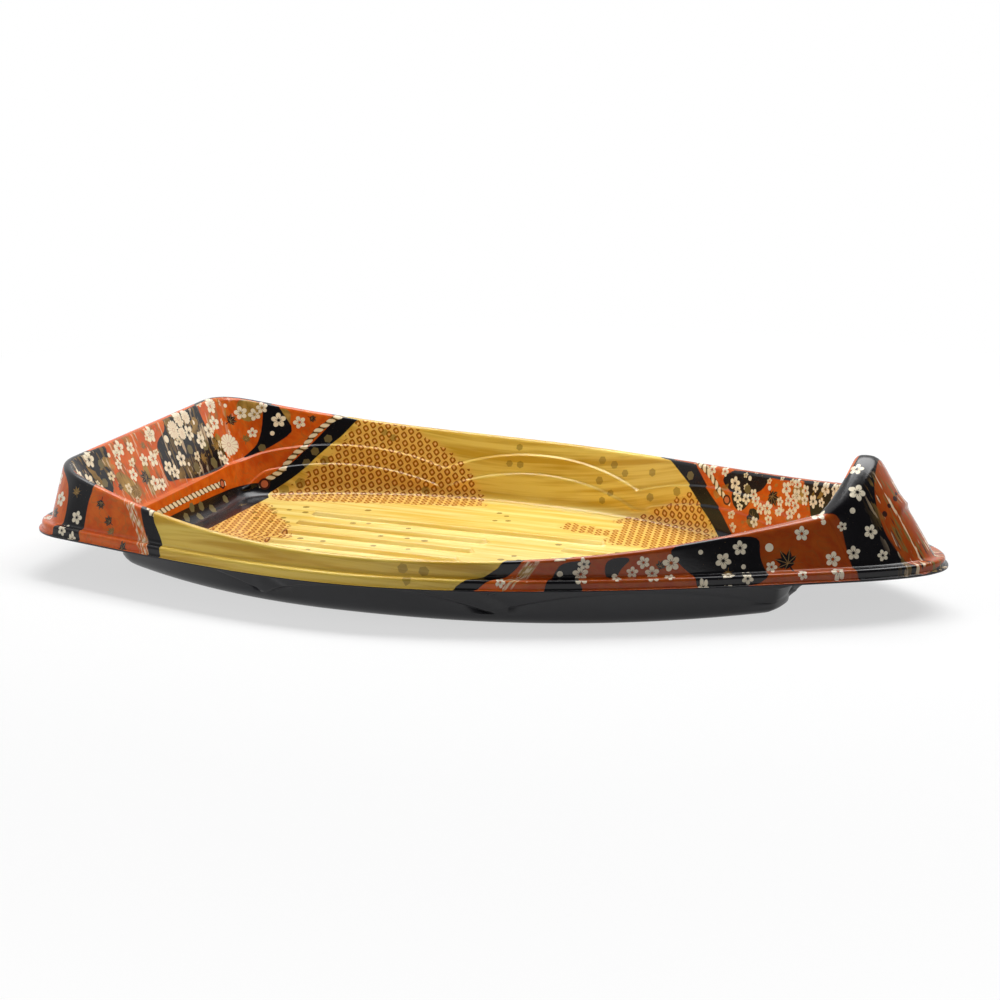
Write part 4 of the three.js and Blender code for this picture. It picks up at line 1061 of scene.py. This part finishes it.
def scatterMasks(pen, sheet, pitch, size, amount):
    node = pen.nodes.new("ShaderNodeTexVoronoi")
    node.voronoi_dimensions = "2D"
    node.inputs["Scale"].default_value = 1 / pitch
    node.inputs["Randomness"].default_value = 0.75
    pen.feed(node.inputs["Vector"], sheet)
    apart = pen.nodes.new("ShaderNodeVectorMath")
    apart.operation = "SUBTRACT"
    pen.links.new(sheet, apart.inputs[0])
    pen.links.new(node.outputs["Position"], apart.inputs[1])
    chance = pen.nodes.new("ShaderNodeSeparateColor")
    pen.links.new(node.outputs["Color"], chance.inputs[0])
    parts = pen.nodes.new("ShaderNodeSeparateXYZ")
    pen.links.new(apart.outputs[0], parts.inputs[0])
    radius = pen.calc("MULTIPLY", pen.calc("ADD", pen.calc("MULTIPLY", chance.outputs[1], 0.5), 0.65), size)
    away, flower, mark = bloomShape(pen, pen.calc("DIVIDE", parts.outputs[0], radius), pen.calc("DIVIDE", parts.outputs[1], radius))
    here = pen.calc("LESS_THAN", chance.outputs[0], amount)
    return {"cream": pen.calc("MULTIPLY", flower, here), "mark": pen.calc("MULTIPLY", mark, here)}


def leafMasks(pen):
    x, y, kind = pen.kept("leafPlace")
    away = pen.calc("SQRT", pen.calc("ADD", pen.calc("MULTIPLY", x, x), pen.calc("MULTIPLY", y, y)))
    lobe = pen.calc("MULTIPLY", pen.calc("ARCTAN2", y, x), 9 / (2 * math.pi))
    number = pen.calc("MINIMUM", pen.calc("MAXIMUM", pen.calc("ROUND", lobe), -3.0), 3.0)
    turn = pen.calc("MULTIPLY", pen.calc("SUBTRACT", lobe, number), 2 * math.pi / 9)
    reach = pen.calc("SUBTRACT", 1.0, pen.calc("MULTIPLY", pen.calc("MULTIPLY", number, number), 0.06))
    along = pen.calc("MULTIPLY", away, pen.calc("COSINE", turn))
    across = pen.calc("ABSOLUTE", pen.calc("MULTIPLY", away, pen.calc("SINE", turn)))
    share = pen.calc("MINIMUM", pen.calc("MAXIMUM", pen.calc("DIVIDE", along, reach), 0.0), 1.0)
    width = pen.calc("MULTIPLY", pen.calc("SINE", pen.calc("MULTIPLY", pen.calc("POWER", share, 0.8), math.pi)), 0.2)
    blade = pen.between(pen.calc("SUBTRACT", across, width), 0.02, -0.02)
    blade = pen.calc("MULTIPLY", blade, pen.between(along, 0.0, 0.02))
    core = pen.between(away, 0.3, 0.24)
    stalk = pen.calc("MULTIPLY", pen.between(pen.calc("ABSOLUTE", y), 0.07, 0.04), pen.calc("MULTIPLY", pen.between(x, 0.02, 0.0), pen.between(x, -0.8, -0.76)))
    leaf = pen.calc("MAXIMUM", pen.calc("MAXIMUM", blade, core), stalk)
    leaf = pen.calc("MULTIPLY", leaf, pen.between(away, 1.1, 1.05))
    vein = pen.calc("MULTIPLY", pen.between(across, 0.035, 0.015), leaf)
    return {"dark": pen.calc("MULTIPLY", leaf, pen.isKind(kind, 0)), "olive": pen.calc("MULTIPLY", leaf, pen.isKind(kind, 1)), "vein": vein}


def fleckMasks(pen):
    x, y, kind = pen.kept("fleckPlace")
    wide, tall = pen.calc("ABSOLUTE", x), pen.calc("ABSOLUTE", y)
    slant = pen.calc("ADD", pen.calc("MULTIPLY", wide, 0.866), pen.calc("MULTIPLY", tall, 0.5))
    shape = pen.between(pen.calc("MAXIMUM", slant, tall), 0.88, 0.8)
    faint = pen.calc("ADD", pen.calc("MULTIPLY", pen.isKind(kind, 1), 0.55), pen.calc("MULTIPLY", pen.isKind(kind, 2), 0.8))
    return {"dark": pen.calc("MULTIPLY", shape, pen.isKind(kind, 0)), "gold": pen.calc("MULTIPLY", shape, faint)}


def cordMasks(pen):
    along, across, faint = pen.kept("cordPlace")
    lean = pen.calc("ADD", along, pen.calc("MULTIPLY", across, 0.9))
    cell = pen.calc("MULTIPLY", pen.calc("ABSOLUTE", pen.calc("SUBTRACT", pen.calc("FRACT", pen.calc("DIVIDE", lean, 2.9)), 0.5)), 2.0)
    wide = pen.calc("DIVIDE", pen.calc("ABSOLUTE", across), 1.05)
    body = pen.calc("ADD", pen.calc("POWER", pen.calc("DIVIDE", cell, 0.8), 2.5), pen.calc("POWER", pen.calc("MINIMUM", wide, 4.0), 2.5))
    drawn = pen.isKind(faint, 1)  # outside the cord is drawn out into streaks
    streak = pen.noise(pen.join(pen.calc("MULTIPLY", along, 0.2), pen.calc("MULTIPLY", across, 1.5)), 1.0, 1.0, 0.5)
    streak = pen.calc("MULTIPLY", pen.between(streak, 0.44, 0.56), pen.between(wide, 1.9, 1.2))
    plain = pen.calc("SUBTRACT", 1.0, drawn)
    strand = pen.calc("ADD", pen.calc("MULTIPLY", pen.between(body, 1.1, 0.9), plain), pen.calc("MULTIPLY", streak, pen.calc("MULTIPLY", drawn, 0.85)))
    return {"strand": strand, "core": pen.calc("MULTIPLY", pen.between(wide, 1.0, 0.9), plain), "crease": pen.between(cell, 0.4, 0.8)}


def knotMasks(pen):
    first, second, edge = pen.kept("knotPlace")
    stepA, stepB = printPlan["knotStepA"], printPlan["knotStepB"]
    da = pen.calc("SUBTRACT", first, pen.calc("ROUND", first))
    db = pen.calc("SUBTRACT", second, pen.calc("ROUND", second))

    def part(trig):
        a, b = stepA[0] * trig(math.radians(stepA[1])), stepB[0] * trig(math.radians(stepB[1]))
        return pen.calc("ADD", pen.calc("MULTIPLY", da, a), pen.calc("MULTIPLY", db, b))

    wide = pen.calc("DIVIDE", pen.calc("ABSOLUTE", part(math.cos)), 1.28)
    tall = pen.calc("DIVIDE", pen.calc("ABSOLUTE", part(math.sin)), 1.5)
    away = pen.calc("POWER", pen.calc("ADD", pen.calc("POWER", wide, 1.25), pen.calc("POWER", tall, 1.25)), 0.8)
    return {"field": pen.between(edge, -0.1, 0.1), "ring": pen.between(away, 1.05, 0.95), "eye": pen.between(away, 0.52, 0.44),
            "pip": pen.between(away, 0.2, 0.12)}


def paintFilm():
    pen = Pen("printedFilmGloss")
    gold, black, olive = pen.kept("printZones")
    flatX, flatY, paintedBowShade = pen.kept("sheetPlace")
    grainPlace = pen.join(pen.calc("MULTIPLY", flatX, 0.014), pen.calc("MULTIPLY", flatY, 0.26))
    finePlace = pen.join(pen.calc("MULTIPLY", flatX, 0.05), pen.calc("MULTIPLY", flatY, 1.3))
    sheet = pen.join(flatX, flatY)
    grain, fine = pen.noise(grainPlace, 1.0, 3.0, 0.6), pen.noise(finePlace, 1.0, 2.0, 0.5)
    patch, strewn, wallShadeShare = pen.kept("patchPlace")
    wood = pen.blend(pen.between(grain, 0.38, 0.6), tone(238, 198, 86), tone(252, 228, 138))
    wood = pen.blend(pen.calc("MULTIPLY", pen.between(fine, 0.56, 0.66), 0.3), wood, tone(206, 160, 52))
    deep = pen.blend(pen.between(grain, 0.42, 0.58), tone(194, 146, 8), tone(234, 198, 74))
    # painted shade: off the floor, the gold of walls, crest and skirt is deepened, standing in for the paler sheen that
    # only the floor takes
    wood = pen.blend(pen.calc("MULTIPLY", wallShadeShare, 0.7), wood, deep)
    knots = knotMasks(pen)
    knotCloth = pen.blend(knots["eye"], tone(158, 88, 10), tone(232, 172, 76))
    knotCloth = pen.blend(pen.calc("MULTIPLY", knots["pip"], 0.7), knotCloth, tone(255, 236, 190))
    wood = pen.blend(pen.calc("MULTIPLY", pen.between(patch, -2.0, 2.0), 0.7), wood, tone(248, 194, 98))
    wood = pen.blend(pen.calc("MULTIPLY", knots["field"], knots["ring"]), wood, knotCloth)
    flecks = fleckMasks(pen)
    wood = pen.blend(flecks["gold"], wood, tone(126, 100, 30))
    mottle = pen.noise(sheet, 0.16, 3.0, 0.6)
    swirl = pen.noise(pen.join(flatX, pen.calc("MULTIPLY", flatY, 1.7)), 0.11, 1.0, 0.4)
    swirl = pen.between(pen.calc("ABSOLUTE", pen.calc("SUBTRACT", pen.calc("FRACT", pen.calc("MULTIPLY", swirl, 6.0)), 0.5)), 0.12, 0.05)
    orange = pen.blend(pen.between(mottle, 0.38, 0.62), tone(206, 80, 0), tone(222, 104, 18))
    orange = pen.blend(pen.calc("MULTIPLY", swirl, 0.4), orange, tone(176, 104, 36))
    # painted shade on the bow's outer skirt, darkening its orange towards brown
    orange = pen.blend(pen.calc("MULTIPLY", paintedBowShade, 0.5), orange, tone(112, 42, 12))
    oliveTone = pen.blend(pen.between(mottle, 0.35, 0.65), tone(132, 100, 38), tone(190, 150, 74))
    picture = pen.blend(pen.between(olive, -0.12, 0.12), orange, oliveTone)
    dust = pen.between(pen.noise(sheet, 1.6, 1.0, 0.5), 0.72, 0.78)
    ink = pen.blend(pen.calc("MULTIPLY", dust, 0.5), tone(12, 10, 15), tone(130, 104, 60))
    picture = pen.blend(pen.between(black, -0.12, 0.12), picture, ink)
    clear = pen.calc("MULTIPLY", pen.between(gold, -6.5, -7.0), strewn)  # the black band beside the gold stays plain
    cloud = pen.calc("MULTIPLY", pen.between(pen.noise(sheet, 0.13, 2.0, 0.5), 0.6, 0.615), clear)
    picture = pen.blend(pen.calc("MULTIPLY", cloud, 0.65), picture, oliveTone)
    across, along, drawn = pen.kept("streakPlace")
    for shift, low, colour in ((0.0, 0.56, tone(134, 106, 52)), (31.0, 0.6, tone(236, 208, 172)), (67.0, 0.62, tone(66, 40, 26))):
        streak = pen.noise(pen.join(pen.calc("ADD", pen.calc("MULTIPLY", across, 0.5), shift), pen.calc("MULTIPLY", along, 0.085)), 1.0, 2.0, 0.5)
        picture = pen.blend(pen.calc("MULTIPLY", pen.between(streak, low, low + 0.03), drawn), picture, colour)
    small = scatterMasks(pen, sheet, 6.0, 1.75, 0.42)
    picture = pen.blend(pen.calc("MULTIPLY", pen.calc("MULTIPLY", small["cream"], clear), 0.92), picture, tone(238, 222, 186))
    picture = pen.blend(pen.calc("MULTIPLY", pen.calc("MULTIPLY", small["mark"], clear), 0.8), picture, tone(130, 88, 44))
    leaves = leafMasks(pen)
    picture = pen.blend(leaves["olive"], picture, tone(128, 98, 44))
    picture = pen.blend(leaves["dark"], picture, tone(26, 20, 22))
    picture = pen.blend(pen.calc("MULTIPLY", leaves["vein"], 0.6), picture, tone(190, 150, 92))
    picture = pen.blend(flecks["dark"], picture, tone(116, 104, 66))
    cords = cordMasks(pen)
    picture = pen.blend(cords["core"], picture, tone(84, 62, 26))
    picture = pen.blend(cords["strand"], picture, pen.blend(cords["crease"], tone(246, 232, 200), tone(206, 176, 120)))
    blooms = bloomMasks(pen)
    picture = pen.blend(blooms["cream"], picture, tone(246, 234, 208))
    picture = pen.blend(pen.calc("MULTIPLY", blooms["mark"], 0.85), picture, tone(112, 88, 54))
    picture = pen.blend(pen.calc("MULTIPLY", blooms["lines"], 0.5), picture, tone(196, 132, 100))
    picture = pen.blend(blooms["eyelet"], picture, tone(70, 30, 16))
    picture = pen.blend(blooms["hole"], picture, tone(206, 112, 72))
    # painted shade in the small pits above the stem's lug
    picture = pen.blend(blooms["spot"], picture, tone(58, 28, 20))
    colour = pen.blend(pen.between(gold, -0.1, 0.1), picture, wood)
    pen.feed(pen.surface.inputs["Base Color"], colour)
    # slight waviness and handling marks in the gloss
    wear = pen.noise(sheet, 0.35, 4.0, 0.6)
    rough = pen.calc("ADD", pen.calc("MULTIPLY", wear, 0.14), 0.14)
    pen.feed(pen.surface.inputs["Roughness"], rough)
    pen.surface.inputs["Specular IOR Level"].default_value = 0.36
    bump = pen.nodes.new("ShaderNodeBump")
    bump.inputs["Strength"].default_value = 0.25
    bump.inputs["Distance"].default_value = 0.00008
    pen.feed(bump.inputs["Height"], pen.calc("ADD", pen.noise(sheet, 0.7, 3.0, 0.55), pen.calc("MULTIPLY", fine, 0.3)))
    pen.links.new(bump.outputs[0], pen.surface.inputs["Normal"])
    return pen.paint


def paintSheet():
    pen = Pen("blackSheetGloss")
    place = pen.nodes.new("ShaderNodeTexCoord").outputs["Object"]
    broad, small = pen.noise(place, 60.0, 3.0, 0.6), pen.noise(place, 900.0, 2.0, 0.5)
    colour = pen.blend(pen.between(broad, 0.35, 0.65), tone(30, 30, 34), tone(38, 38, 43))
    pen.feed(pen.surface.inputs["Base Color"], colour)
    pen.feed(pen.surface.inputs["Roughness"], pen.calc("ADD", pen.calc("MULTIPLY", small, 0.12), pen.calc("ADD", pen.calc("MULTIPLY", broad, 0.12), 0.2)))
    pen.surface.inputs["Specular IOR Level"].default_value = 0.5
    bump = pen.nodes.new("ShaderNodeBump")
    bump.inputs["Strength"].default_value = 0.2
    bump.inputs["Distance"].default_value = 0.0001
    pen.feed(bump.inputs["Height"], broad)
    pen.links.new(bump.outputs[0], pen.surface.inputs["Normal"])
    return pen.paint


film.data.materials.append(paintFilm())
shell.data.materials.append(paintSheet())
print("materials: printed gloss film and black sheet")
